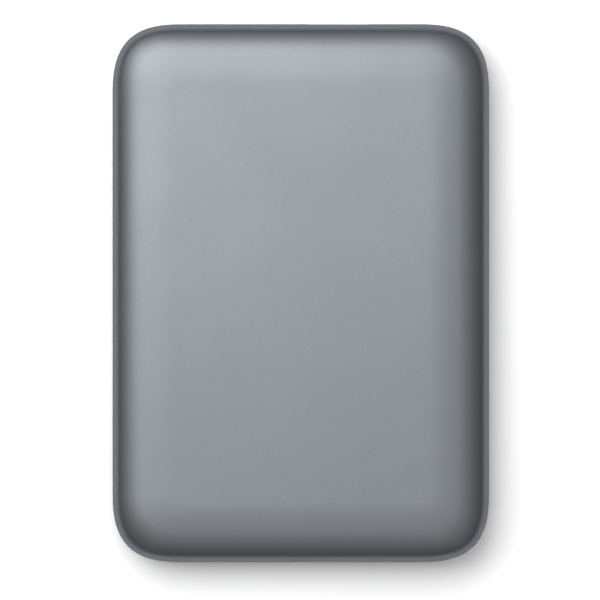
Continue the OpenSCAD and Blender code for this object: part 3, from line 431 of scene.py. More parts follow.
def wound_wire(name, colour, centre):
    """Enamelled copper wire wound in close turns: rows of ridges under a clear amber varnish, with painted
    shade.

    Real wire is near 0.1 mm, so it is drawn at 0.16 mm to show at all.
    """
    material, tree, place = begin(name)
    ridge_and_painted_shade = rings(tree, place, centre, 0.16 * MM)
    height = add(tree, "ShaderNodeMapRange", {"From Min": -1}, {"Value": ridge_and_painted_shade})
    # Painted shade and highlight: the grooves between turns are painted at half the colour and the ridge tops
    # lighter
    tone = add(tree, "ShaderNodeMix", {6: shaded(colour, 0.5), 7: shaded(colour, 1.15)}, {0: height},
               data_type="RGBA")
    relief = add(tree, "ShaderNodeBump", {"Distance": 0.03 * MM}, {"Height": height})
    shader = add(tree, "ShaderNodeBsdfPrincipled", {"Metallic": 1, "Roughness": 0.3, "Coat Weight": 0.4}, {
        "Base Color": tone.outputs[2], "Normal": relief})
    add(tree, "ShaderNodeOutputMaterial", links={"Surface": shader})
    return material


def stacked_sheet(name, colour):
    """Punched motor steel in sheets 0.2 mm thick: dark level lines, partly painted shade, run round the stack.
    """
    material, tree, place = begin(name)
    level = add(tree, "ShaderNodeSeparateXYZ", links={0: place}).outputs["Z"]
    edge = waves(tree, level, 0.2 * MM)
    height = add(tree, "ShaderNodeMapRange", {"From Min": -1}, {"Value": edge})
    # Partly painted shade: the grooves where the sheets meet are painted darker than their real joints, and the
    # sheet edges lighter as a painted highlight
    tone = add(tree, "ShaderNodeMix", {6: shaded(colour, 0.55), 7: shaded(colour, 1.1)}, {0: height},
               data_type="RGBA")
    relief = add(tree, "ShaderNodeBump", {"Distance": 0.01 * MM}, {"Height": height})
    shader = add(tree, "ShaderNodeBsdfPrincipled", {"Metallic": 1, "Roughness": 0.4}, {
        "Base Color": tone.outputs[2], "Normal": relief})
    add(tree, "ShaderNodeOutputMaterial", links={"Surface": shader})
    return material


def sputtered_mirror(name, colour, centre):
    """Polished disc with a sputtered film: a near mirror, with very faint rings round the spindle.

    The polish's real rings are far too fine to show, so they are drawn 0.6 mm apart.
    """
    material, tree, place = begin(name)
    film = rings(tree, place, centre, 0.6 * MM)
    tint = add(tree, "ShaderNodeMapRange", {"From Min": -1}, {"Value": film})
    tone = add(tree, "ShaderNodeMix", {6: shaded(colour, 0.97), 7: colour}, {0: tint}, data_type="RGBA")
    haze = add(tree, "ShaderNodeTexNoise", {"Scale": 1 / (5 * MM)}, {"Vector": place})
    rough = add(tree, "ShaderNodeMapRange", {"To Min": 0.03, "To Max": 0.1}, {"Value": haze})
    shader = add(tree, "ShaderNodeBsdfPrincipled", {"Metallic": 1}, {
        "Base Color": tone.outputs[2], "Roughness": rough})
    add(tree, "ShaderNodeOutputMaterial", links={"Surface": shader})
    return material


def clear_acrylic(name, colour):
    """Moulded clear acrylic: glassy, with a slight haze that spreads the light it carries."""
    material, tree, place = begin(name)
    haze = add(tree, "ShaderNodeTexNoise", {"Scale": 1 / (0.8 * MM), "Detail": 2}, {"Vector": place})
    rough = add(tree, "ShaderNodeMapRange", {"To Min": 0.1, "To Max": 0.26}, {"Value": haze})
    shader = add(tree, "ShaderNodeBsdfPrincipled", {
        "Base Color": colour, "IOR": 1.49, "Transmission Weight": 0.9}, {"Roughness": rough})
    add(tree, "ShaderNodeOutputMaterial", links={"Surface": shader})
    return material


def etched_film(name, colour):
    """Polyimide film over etched copper tracks: glossy amber, banded dark along its length."""
    material, tree, place = begin(name)
    level = add(tree, "ShaderNodeSeparateXYZ", links={0: place}).outputs["Z"]
    track = waves(tree, level, 0.3 * MM)
    band = add(tree, "ShaderNodeMapRange", {"From Min": -0.4, "From Max": 0.4}, {"Value": track})
    tone = add(tree, "ShaderNodeMix", {6: colour, 7: shaded(colour, 0.5)}, {0: band}, data_type="RGBA")
    shader = add(tree, "ShaderNodeBsdfPrincipled", {"IOR": 1.7, "Roughness": 0.22}, {
        "Base Color": tone.outputs[2]})
    add(tree, "ShaderNodeOutputMaterial", links={"Surface": shader})
    return material


def needled_felt(name, colour):
    """Needled polyester felt: a white mat of crossing fibres, furry at every edge of light.

    Real fibres are near 0.02 mm, so they are drawn coarser to show at all.
    """
    material, tree, place = begin(name)
    comb = add(tree, "ShaderNodeVectorMath", {1: (1 / (0.9 * MM), 1 / (0.12 * MM), 1 / (0.2 * MM))},
               {0: place}, operation="MULTIPLY")
    fibre = add(tree, "ShaderNodeTexNoise", {"Scale": 1, "Detail": 4, "Roughness": 0.7}, {"Vector": comb})
    tone = add(tree, "ShaderNodeMix", {6: shaded(colour, 0.65), 7: colour}, {0: fibre}, data_type="RGBA")
    relief = add(tree, "ShaderNodeBump", {"Distance": 0.08 * MM}, {"Height": fibre})
    shader = add(tree, "ShaderNodeBsdfPrincipled", {"IOR": 1.45, "Roughness": 0.95, "Sheen Weight": 0.3}, {
        "Base Color": tone.outputs[2], "Normal": relief})
    add(tree, "ShaderNodeOutputMaterial", links={"Surface": shader})
    return material


# Surfaces

def outline(shape, inset, steps=32):
    """Plan outline of the case for an array of insets, as x and y grids with one row for each inset.

    Each corner is a superellipse, where the power of x over the reach and the power of y over the reach add up
    to one, and straight sides join the corners. The reach shrinks by the inset, so the rows nest evenly.
    """
    inset = np.asarray(inset, float)[:, None]
    reach = np.maximum(shape.corner_reach - inset, 1 * MM)
    quadrant = np.repeat(np.arange(4), steps + 1)
    angle = np.tile(np.linspace(0, math.pi / 2, steps + 1), 4) + quadrant * math.pi / 2
    side_x = np.where((quadrant == 0) | (quadrant == 3), 1, -1)
    side_y = np.where(quadrant < 2, 1, -1)
    power = 2 / shape.corner_power
    x = side_x * (HALF_WIDTH - inset - reach + reach * np.abs(np.cos(angle)) ** power)
    y = side_y * (HALF_LENGTH - inset - reach + reach * np.abs(np.sin(angle)) ** power)
    return x, y


def arc(centre, radius, first, last, count):
    """Points at a radius from a centre, where angle 0 is straight up and a right angle points outwards."""
    angle = np.linspace(first, last, count)
    return np.stack([centre[0] + radius * np.sin(angle), centre[1] + radius * np.cos(angle)], 1)


def crown_section(shape, thin, counts):
    """Section of the crown from the flat face outwards, as rows of inset and height.

    Three tangent arcs follow each other: the soft crown, the shoulder and the edge. An inner skin keeps their
    centres, with each radius less by the wall.
    """
    crown_r = shape.shoulder_radius + (
        shape.crown_reach - shape.edge_radius
        - (shape.shoulder_radius - shape.edge_radius) * math.sin(shape.shoulder_slope)
    ) / math.sin(shape.crown_slope)
    crown_c = np.array([0, -crown_r])
    shoulder_c = arc(crown_c, crown_r - shape.shoulder_radius, shape.crown_slope, shape.crown_slope, 1)[0]
    edge_c = arc(
        shoulder_c, shape.shoulder_radius - shape.edge_radius, shape.shoulder_slope, shape.shoulder_slope, 1,
    )[0]
    points = np.concatenate([
        arc(crown_c, crown_r - thin, 0, shape.crown_slope, counts[0])[:-1],
        arc(
            shoulder_c, shape.shoulder_radius - thin, shape.crown_slope, shape.shoulder_slope, counts[1],
        )[:-1],
        arc(edge_c, shape.edge_radius - thin, shape.shoulder_slope, math.pi / 2, counts[2]),
    ])
    return np.stack([shape.crown_reach - points[:, 0], CASE_TOP + points[:, 1]], 1)


def tray_section(shape, thin, last, counts):
    """Section of the tray's lower edge from the flat underside outwards, as rows of inset and height.

    A shallow sweep and the edge are tangent arcs, turned over so that they rise.
    """
    sweep_r = shape.tray_radius + (shape.tray_reach - shape.tray_radius) / math.sin(shape.tray_slope)
    sweep_c = np.array([0, -sweep_r])
    edge_c = arc(sweep_c, sweep_r - shape.tray_radius, shape.tray_slope, shape.tray_slope, 1)[0]
    points = np.concatenate([
        arc(sweep_c, sweep_r - thin, 0, shape.tray_slope, counts[0])[:-1],
        arc(edge_c, shape.tray_radius - thin, shape.tray_slope, last, counts[1]),
    ])
    return np.stack([shape.tray_reach - points[:, 0], TRAY_LOW.z - points[:, 1]], 1)


def swept_solid(x, y, z, finish=0):
    """Closed surface through rows of points: quads join the rows, and a flat face closes the first and last.

    It comes as vertices, the vertex of each face corner in turn, the corner count of each face and the number
    of each face's finish, where finish may give a number for each band between two rows.
    """
    rows, columns = x.shape
    vertices = np.stack([x, y, np.broadcast_to(z, x.shape)], 2).reshape(-1, 3)
    row, column = np.meshgrid(np.arange(rows - 1), np.arange(columns), indexing="ij")
    here = row * columns + column
    beside = row * columns + (column + 1) % columns
    quads = np.stack([here, beside, beside + columns, here + columns], 2).reshape(-1, 4)
    first = np.arange(columns)[::-1]
    last = np.arange(columns) + (rows - 1) * columns
    corners = np.concatenate([quads.ravel(), first, last])
    counts = np.concatenate([np.full(len(quads), 4), [columns, columns]])
    bands = np.broadcast_to(finish, rows - 1)
    return vertices, corners, counts, np.concatenate([np.repeat(bands, columns), bands[:1], bands[-1:]])


def swept_case(shape, section, finish=0):
    """The plan outline carried along a section of insets and heights."""
    x, y = outline(shape, section[:, 0])
    return swept_solid(x, y, section[:, 1:], finish)


def revolved(centre, section, steps=64):
    """A section of radii and heights turned about an upright axis through a centre."""
    angle = np.linspace(0, 2 * math.pi, steps, endpoint=False)
    x = centre[0] + section[:, :1] * np.cos(angle)
    y = centre[1] + section[:, :1] * np.sin(angle)
    return swept_solid(x, y, section[:, 1:])


def prism(points, along, low, high):
    """A plan outline carried upwards along z, or an outline in y and z carried along x, from low to high."""
    points = np.asarray(points, float)
    a, b = np.broadcast_to(points.T[:, None, :], (2, 2, len(points)))
    run = np.broadcast_to(np.array([[low], [high]], float), a.shape)
    return swept_solid(*((a, b, run) if along == "z" else (run, a, b)))


def rectangle(low, high):
    """Corners of a rectangle in turn, from its low and high corner."""
    return np.array([(low[0], low[1]), (high[0], low[1]), (high[0], high[1]), (low[0], high[1])])


def drafted_rib(start, end, root, tip):
    """A moulded rib between two plan points: two rectangles, 1 mm wide at its root and 0.7 mm at its tip."""
    ring = rectangle(np.minimum(start, end), np.maximum(start, end))
    outward = rectangle((-1, -1), (1, 1))
    rings = [(ring + outward * 0.5 * MM, root), (ring + outward * 0.35 * MM, tip)]
    rings.sort(key=lambda pair: pair[1])
    plan = np.stack([pair[0] for pair in rings])
    return swept_solid(plan[..., 0], plan[..., 1], np.array([[pair[1]] for pair in rings]))


def turned(part, angle, offset):
    """A part turned about the upright axis by a rotation matrix and moved in plan."""
    vertices, *faces = part
    along, across = math.cos(angle), math.sin(angle)
    matrix = np.array([[along, across, 0], [-across, along, 0], [0, 0, 1]])
    return vertices @ matrix + np.array([*offset, 0]), *faces


def rounded_slot(centre, half_x, half_z, radius, steps=6):
    """Outline of a rounded rectangle in x and z, as arcs of a circle round four corner centres."""
    quadrant = np.repeat(np.arange(4), steps + 1)
    angle = np.tile(np.linspace(0, math.pi / 2, steps + 1), 4) + quadrant * math.pi / 2
    side_x = np.where((quadrant == 0) | (quadrant == 3), 1, -1)
    side_z = np.where(quadrant < 2, 1, -1)
    x = centre[0] + side_x * (half_x - radius) + radius * np.cos(angle)
    z = centre[1] + side_z * (half_z - radius) + radius * np.sin(angle)
    return x, z


def flared_window(centre, half_x, half_z, radius, depth, flare):
    """Cutter for an opening in the end wall: a rounded slot, carried along y, that flares out like a soft edge.

    Its half sizes and corner radius grow by the same steps, which follow a round edge out through the face.
    """
    grow = np.array([0, 0, 0.12, 0.5, 1, 2]) * flare
    y = HALF_LENGTH + np.array([-depth, -flare, -0.5 * flare, -0.14 * flare, 0, flare])
    rings = [rounded_slot(centre, half_x + g, half_z + g, radius + g) for g in grow]
    x, z = np.stack(rings, 1)
    return swept_solid(x[::-1], np.broadcast_to(y[::-1, None], x.shape), z[::-1])


def piece(name, parts, materials):
    """Makes one mesh object from closed parts, smooth but for its sharp edges."""
    vertices, corners, counts, finish = zip(*parts)
    firsts = np.cumsum([0, *map(len, vertices[:-1])])
    corners = np.concatenate([c + first for c, first in zip(corners, firsts)])
    counts = np.concatenate(counts)
    mesh = bpy.data.meshes.new(name)
    mesh.vertices.add(sum(map(len, vertices)))
    mesh.vertices.foreach_set("co", np.concatenate(vertices).astype(np.float32).ravel())
    mesh.loops.add(len(corners))
    mesh.loops.foreach_set("vertex_index", corners.astype(np.int32))
    mesh.polygons.add(len(counts))
    mesh.polygons.foreach_set("loop_start", np.concatenate([[0], np.cumsum(counts)[:-1]]).astype(np.int32))
    for material in materials:
        mesh.materials.append(material)
    mesh.polygons.foreach_set("material_index", np.concatenate(finish).astype(np.int32))
    mesh.update(calc_edges=True)
    if mesh.validate():
        raise ValueError(f"{name} has faces that Blender had to mend")
    new = bpy.data.objects.new(name, mesh)
    bpy.context.scene.collection.objects.link(new)
    mesh.shade_smooth()
    mesh.set_sharp_from_angle(angle=SHARP)
    return new


def carve(item, cutters):
    """Cuts closed parts out of a piece with an exact boolean and keeps the result as its mesh."""
    tool = piece("cutter", cutters, item.data.materials[:1])
    modifier = item.modifiers.new("carve", "BOOLEAN")
    modifier.operation = "DIFFERENCE"
    modifier.solver = "EXACT"
    modifier.object = tool
    carved = bpy.data.meshes.new_from_object(item.evaluated_get(bpy.context.evaluated_depsgraph_get()))
    item.modifiers.clear()
    whole, item.data = item.data, carved
    bpy.data.meshes.remove(whole)
    bpy.data.objects.remove(tool)
    carved.name = item.name
    carved.shade_smooth()
    carved.set_sharp_from_angle(angle=SHARP)


def dress(materials):
    """Gives CAD nodes their finishes, from a table of node name to material."""
    for name, material in materials.items():
        mesh = frame["nodes"][name].data
        mesh.materials.clear()
        mesh.materials.append(material)


def fit(item, slot, *nodes):
    """Makes a piece ride on the case and stand for its CAD nodes; its slot is not used."""
    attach(item, "case_and_drive")
    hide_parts(*nodes)


def middles(prefix):
    """Middle of each CAD node whose name starts with a prefix, in order of name."""
    boxes = [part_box(name) for name in sorted(frame["nodes"]) if name.startswith(prefix)]
    return [(low + high) / 2 for low, high in boxes]


def snap_places(shape):
    """Place and turn of each snap tab, whose outward side lies along its own +Y."""
    side, end, quarter = HALF_WIDTH - shape.wall, HALF_LENGTH - shape.wall, math.pi / 2
    return (
        [(side, y * MM, -quarter) for y in (-22, 12)] + [(-side, y * MM, quarter) for y in (-22, 12)]
        + [(x * MM, -end, math.pi) for x in (-15, 15)] + [(-20 * MM, end, 0)]
    )


class DRIVE_OT_top_cover(bpy.types.Operator):
    """Builds the pillow-topped cover with its ribs, snap pockets, port window and light hole."""

    bl_idname = "drive.top_cover"
    bl_label = "Top cover"

    def execute(self, context):
        shape, finish = context.scene.drive_case, context.scene.drive_finish
        lacquer = flake_lacquer("satin_flake_lacquer", finish.cover_colour, finish.gloss, finish.grain)
        bare = moulded_plastic("bare_moulded_abs", linear("4E5154"))
        inner = crown_section(shape, shape.wall, (8, 8, 10))
        outer = crown_section(shape, 0, (20, 20, 24))[::-1]
        ceiling = [[shape.crown_reach + FLAT_INSIDE, inner[0, 1]]]
        round_r = shape.seam_round
        rim = arc((round_r, COVER_RIM + round_r), -round_r, 0, math.pi / 2, 5)
        face = [[shape.crown_reach + FLAT_OUTSIDE, CASE_TOP]]
        section = np.concatenate([ceiling, inner, [[shape.wall, COVER_RIM]], rim, outer, face])
        bands = (np.arange(len(section) - 1) <= len(inner)).astype(int)
        cover = piece("cover_shell", [swept_case(shape, section, bands)], [lacquer, bare])
        half_pocket = SNAP_HALF + 0.4 * MM
        pocket = prism(
            rectangle((-half_pocket, -SNAP_BARB), (half_pocket, SNAP_BARB)), "z",
            SNAP_TOP - 1.1 * MM, SNAP_TOP + 0.3 * MM)
        port, pipe = (PORT_LOW + PORT_HIGH) / 2, (PIPE_LOW + PIPE_HIGH) / 2
        window = flared_window(
            (port.x, PORT_HIGH.z - PORT_HALF_HEIGHT), PORT_HIGH.x - port.x + PORT_PLAY,
            PORT_HALF_HEIGHT + PORT_PLAY, PORT_CORNER, CUT_DEPTH, PORT_FLARE)
        # Its corners are a hair short of round, so that no two of their points meet.
        hole = flared_window(
            (pipe.x, LIGHT_HEIGHT), LIGHT_R, LIGHT_R, LIGHT_R - 0.001 * MM, CUT_DEPTH, LIGHT_FLARE)
        carve(cover, [*(turned(pocket, a, (x, y)) for x, y, a in snap_places(shape)), window, hole])
        # Larger faces lead the normals, so the walls stay even right up to the openings' soft edges.
        even = cover.modifiers.new("even_walls", "WEIGHTED_NORMAL")
        even.keep_sharp = True
        fit(cover, "case_cover", "top_cover")

        fit(piece("cover_ribs", self.ribs(shape), [bare]), "case_cover", "top_cover")
        return {"FINISHED"}

    def ribs(self, shape):
        """Ribs that stop short of the drive, two along and three across, and a short pair at each bumper."""
        root, tip = CASE_TOP - shape.wall + ROOTED, DRIVE_TOP + 0.35 * MM
        half_along, half_across = 40 * MM, 26 * MM
        parts = [drafted_rib((x * MM, -half_along), (x * MM, half_along), root, tip) for x in (-14, 14)]
        parts += [
            drafted_rib((-half_across, y * MM), (half_across, y * MM), root, tip + 0.3 * MM)
            for y in (-28, 0, 28)]
        inside, in_wall, beside = 37.4 * MM, HALF_WIDTH - shape.wall + 0.3 * MM, 3.2 * MM
        for middle in middles("bumper_"):
            side = math.copysign(1, middle.x)
            for y in (middle.y - beside, middle.y + beside):
                parts.append(drafted_rib((side * inside, y), (side * in_wall, y), 10.5 * MM, 6.5 * MM))
        return parts


class DRIVE_OT_bottom_tray(bpy.types.Operator):
    """Builds the tray with its lip, foot recesses, snap tabs, ribs and board posts."""

    bl_idname = "drive.bottom_tray"
    bl_label = "Bottom tray"

    def execute(self, context):
        shape, finish = context.scene.drive_case, context.scene.drive_finish
        abs_grain = moulded_plastic("moulded_abs_tray", finish.tray_colour, 0.48)
        seam, round_r = COVER_RIM - SEAM_GAP, shape.seam_round
        lip_outer = shape.wall + shape.lip_gap
        lip_inner = lip_outer + shape.lip_wall
        lip_top = seam + LIP_HEIGHT
        last = math.asin((shape.tray_radius - lip_inner) / (shape.tray_radius - shape.wall))
        outer = tray_section(shape, 0, math.pi / 2, (8, 20))
        inner = tray_section(shape, shape.wall, last, (5, 6))[::-1]
        under = [[shape.tray_reach + FLAT_OUTSIDE, TRAY_LOW.z]]
        rim = arc((round_r, seam - round_r), round_r, -math.pi / 2, 0, 5)
        lip = [
            [lip_outer, seam], [lip_outer, lip_top - LIP_CHAMFER], [lip_outer + LIP_CHAMFER, lip_top],
            [lip_inner, lip_top]]
        floor = [[shape.tray_reach + FLAT_INSIDE, inner[-1, 1]]]
        section = np.concatenate([under, outer, rim, lip, inner, floor])
        tray = piece("tray_shell", [swept_case(shape, section)], [abs_grain])
        recess_r = FOOT_R + 0.1 * MM
        recess = np.array([[recess_r, -1 * MM], [recess_r, FOOT_HIGH.z]])
        carve(tray, [revolved(middle, recess) for middle in middles("foot_")])
        fit(tray, "case_tray", "bottom_tray")
        fit(piece("tray_fittings", self.fittings(shape, lip_top), [abs_grain]), "case_tray", "bottom_tray")
        return {"FINISHED"}

    def fittings(self, shape, lip_top):
        """Floor ribs, bumper ribs, snap tabs and board posts, each a closed part rooted in the tray."""
        root = TRAY_LOW.z + shape.wall - ROOTED
        parts = [drafted_rib((x * MM, -45 * MM), (x * MM, 40 * MM), root, 3.3 * MM) for x in (-20, 20)]
        parts += [drafted_rib((-31 * MM, y * MM), (31 * MM, y * MM), root, 3 * MM) for y in (-30, 0, 30)]
        # Two walls hold each bumper's ends and a low one carries it: y from its middle, inner x and top
        walls = ((-5.2, 35.7, 5.5), (0, 35.5, 2.8), (5.2, 35.7, 5.5))
        for middle in middles("bumper_"):
            side = math.copysign(1, middle.x)
            for step, inside, top in walls:
                y = middle.y + step * MM
                parts.append(drafted_rib((side * inside * MM, y), (side * 36.4 * MM, y), root, top * MM))
        face = -shape.lip_gap - 0.1 * MM
        back = face - shape.lip_wall
        foot = lip_top - 1.5 * MM
        tab = prism([
            (back, foot), (face - shape.lip_wall / 2, foot), (face, foot + 0.5 * MM),
            (face, SNAP_TOP - 0.9 * MM), (face + SNAP_BARB, SNAP_TOP - 0.7 * MM), (face, SNAP_TOP),
            (back, SNAP_TOP),
        ], "x", -SNAP_HALF, SNAP_HALF)
        parts += [turned(tab, a, (x, y)) for x, y, a in snap_places(shape)]
        # Each post is turned: radius and height of its foot, its shoulder under the board and its peg
        post = np.array([[1.4, 1.5], [1.4, 6.5], [0.6, 6.5], [0.6, 7.65], [0.45, 7.8]]) * MM
        board_low, board_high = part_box("bridge_board")
        posts_x, posts_y = (board_low.x + 1.6 * MM, board_high.x - 2 * MM), 52 * MM
        parts += [revolved((x, posts_y), post, 32) for x in posts_x]
        return parts


class DRIVE_OT_feet(bpy.types.Operator):
    """Builds the four rubber feet: turned pads with a rounded rim and a shallow dish."""

    bl_idname = "drive.feet"
    bl_label = "Rubber feet"

    def execute(self, context):
        rubber = moulded_rubber("moulded_silicone_rubber", context.scene.drive_finish.rubber_colour)
        # Radius and height of the shallow dish in the sole, from its flat middle outwards
        dish = np.array([[0.4, 0.08], [2.3, 0.08], [2.55, 0.06], [2.8, 0]]) * MM
        rim_r = 0.3 * MM
        rim = arc((FOOT_R - rim_r, rim_r), rim_r, math.pi, math.pi / 2, 7)
        section = np.concatenate([dish, rim, [[FOOT_R, FOOT_HIGH.z], [dish[0, 0], FOOT_HIGH.z]]])
        for name in sorted(name for name in frame["nodes"] if name.startswith("foot_")):
            low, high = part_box(name)
            pad = piece(name.replace("foot", "pad"), [revolved((low + high) / 2, section)], [rubber])
            fit(pad, "rubber", name)
        return {"FINISHED"}


class DRIVE_OT_bumpers(bpy.types.Operator):
    """Gives the four drive bumpers their rubber."""

    bl_idname = "drive.bumpers"
    bl_label = "Drive bumpers"

    def execute(self, context):
        rubber = moulded_rubber("moulded_shock_rubber", linear("242528"))
        dress({name: rubber for name in frame["nodes"] if name.startswith("bumper_")})
        return {"FINISHED"}


class DRIVE_OT_port(bpy.types.Operator):
    """Finishes the port's metal shell, tongues and contacts, the light and its pipe."""

    bl_idname = "drive.port"
    bl_label = "Port and light"

    def execute(self, context):
        dress({
            "port_shell": rolled_metal("nickel_plated_steel", linear("C9C8C4"), 0.28),
            "port_tongues": moulded_plastic(
                "moulded_lcp_tongue", linear("17181A"), 0.45, 0.15 * MM, 0.004 * MM),
            "port_contacts": plated_gold("gold_plated_port_contact", linear("E3BC6A")),
            "light_pipe": clear_acrylic("moulded_clear_acrylic", linear("F2F5F7")),
            "activity_light": moulded_plastic(
                "white_lamp_package", linear("E9E8E2"), 0.35, 0.1 * MM, 0.002 * MM),
        })
        return {"FINISHED"}


class DRIVE_OT_port_board(bpy.types.Operator):
    """Finishes the port board, its chip, small parts and the socket for the drive."""

    bl_idname = "drive.port_board"
    bl_label = "Port board"

    def execute(self, context):
        dress({
            "bridge_board": solder_mask("green_solder_mask", linear("0E4A33")),
            "bridge_chip": moulded_epoxy("bridge_chip_epoxy", linear("1B1B1D")),
            "bridge_small_parts": cast_metal(
                "tinned_small_parts", linear("A8A39A"), 0.4, 0.3 * MM, 0.01 * MM),
            "board_socket": moulded_plastic("moulded_socket_nylon", linear("18191B"), 0.5, 0.2 * MM),
            "board_socket_contacts": plated_gold("gold_plated_socket_contact", linear("DDB765")),
        })
        return {"FINISHED"}


class DRIVE_OT_drive_shell(bpy.types.Operator):
    """Finishes the drive's cast base, pressed cover, gasket, screws and foil shield."""

    bl_idname = "drive.drive_shell"
    bl_label = "Drive shell"

    def execute(self, context):
        dress({
            "drive_base": cast_metal("die_cast_aluminium", linear("A9ABAE")),
            "drive_cover": rolled_metal("pressed_stainless_steel", linear("BDBEC0"), 0.34),
            "cover_gasket": moulded_rubber("foamed_gasket_rubber", linear("151516")),
            "cover_screws": rolled_metal("blackened_cover_screw", linear("5A5B5E"), 0.36),
            "shield_foil": rolled_metal("rolled_aluminium_foil", linear("D2D3D5"), 0.22, 0.2 * MM, 12 * MM),
        })
        return {"FINISHED"}


class DRIVE_OT_drive_board(bpy.types.Operator):
    """Finishes the drive's board, chips, screws and plug."""

    bl_idname = "drive.drive_board"
    bl_label = "Drive board"

    def execute(self, context):
        epoxy = moulded_epoxy("drive_chip_epoxy", linear("202022"))
        dress({
            "drive_board": solder_mask("blue_solder_mask", linear("113A4A")),
            "controller_chip": epoxy,
            "motor_chip": epoxy,
            "memory_chip": epoxy,
            "drive_board_screws": rolled_metal("zinc_plated_board_screw", linear("9C9DA0"), 0.3),
            "drive_plug": moulded_plastic("moulded_plug_nylon", linear("151618"), 0.5, 0.2 * MM),
            "drive_plug_contacts": plated_gold("gold_plated_plug_contact", linear("DDB765")),
        })
        return {"FINISHED"}


class DRIVE_OT_spindle(bpy.types.Operator):
    """Finishes the spindle motor, the platter and its clamp."""

    bl_idname = "drive.spindle"
    bl_label = "Spindle and platter"

    def execute(self, context):
        dress({
            "spindle_sleeve": turned_metal("turned_bearing_bronze", linear("B08A4E"), SPINDLE),
            "stator_core": stacked_sheet("punched_motor_steel", linear("7C7E82")),
            "stator_coils": wound_wire("enamelled_stator_wire", linear("B5673A"), SPINDLE),
            "spindle_shaft": turned_metal("ground_shaft_steel", linear("C4C5C8"), SPINDLE, roughness=0.18),
            "spindle_hub": turned_metal("turned_aluminium_hub", linear("BFC0C3"), SPINDLE),
            "rotor_magnet": cast_metal("bonded_neodymium_magnet", linear("4A4A4D"), 0.5, 0.3 * MM),
            "platter": sputtered_mirror("sputtered_platter_film", linear("CFCBC6"), SPINDLE),
            "disc_clamp": turned_metal("turned_stainless_clamp", linear("C6C7CA"), SPINDLE),
            "clamp_screws": rolled_metal("nickel_plated_clamp_screw", linear("B4B5B8"), 0.25),
        })
        return {"FINISHED"}


class DRIVE_OT_head_arm(bpy.types.Operator):
    """Finishes the pivot, the head arm, its coil, the suspensions and the heads."""

    bl_idname = "drive.head_arm"
    bl_label = "Head arm"

    def execute(self, context):
        spring = rolled_metal("rolled_spring_steel", linear("C2C1BD"), 0.2)
        ceramic = moulded_epoxy("lapped_head_ceramic", linear("2A2A2C"))
        dress({
            "pivot_shaft": turned_metal("ground_pivot_shaft", linear("C6C7CA"), PIVOT, roughness=0.16),
            "pivot_balls": turned_metal("polished_bearing_steel", linear("D0D1D4"), PIVOT, roughness=0.1),
            "pivot_housing": turned_metal("ground_pivot_housing", linear("C2C3C6"), PIVOT),
            "head_arm": turned_metal("machined_aluminium_arm", linear("B9BABD"), PIVOT, 0.25 * MM, 0.3),
            "coil_frame": moulded_plastic("overmoulded_coil_frame", linear("1A1A1C"), 0.5, 0.2 * MM),
            "voice_coil": wound_wire("enamelled_voice_coil", linear("B8683A"), PIVOT),
            "upper_suspension": spring,
            "lower_suspension": spring,
            "upper_head": ceramic,
            "lower_head": ceramic,
        })
        return {"FINISHED"}


class DRIVE_OT_arm_surrounds(bpy.types.Operator):
    """Finishes the ramp, yokes, magnets, stops, flex circuit and filter round the arm."""

    bl_idname = "drive.arm_surrounds"
    bl_label = "Round the arm"

    def execute(self, context):
        yoke = rolled_metal("nickel_plated_yoke", linear("B3B2AD"), 0.26)
        magnet = cast_metal("nickel_plated_magnet", linear("A3A29E"), 0.3, 0.4 * MM, 0.005 * MM)
        dress({
            "parking_ramp": moulded_plastic(
                "moulded_acetal_ramp", linear("E8E6DD"), 0.3, 0.2 * MM, 0.003 * MM),
            "lower_yoke": yoke,
            "upper_yoke": yoke,
            "lower_magnet": magnet,
            "upper_magnet": magnet,
            "crash_stops": moulded_rubber("moulded_stop_rubber", linear("1D1D1F")),
            "head_flex": etched_film("etched_polyimide_film", linear("B8741E")),
            "flex_bracket": moulded_plastic("moulded_bracket_plastic", linear("1D1D1F"), 0.5, 0.2 * MM),
            "air_filter": needled_felt("needled_filter_felt", linear("EDEBE4")),
        })
        return {"FINISHED"}


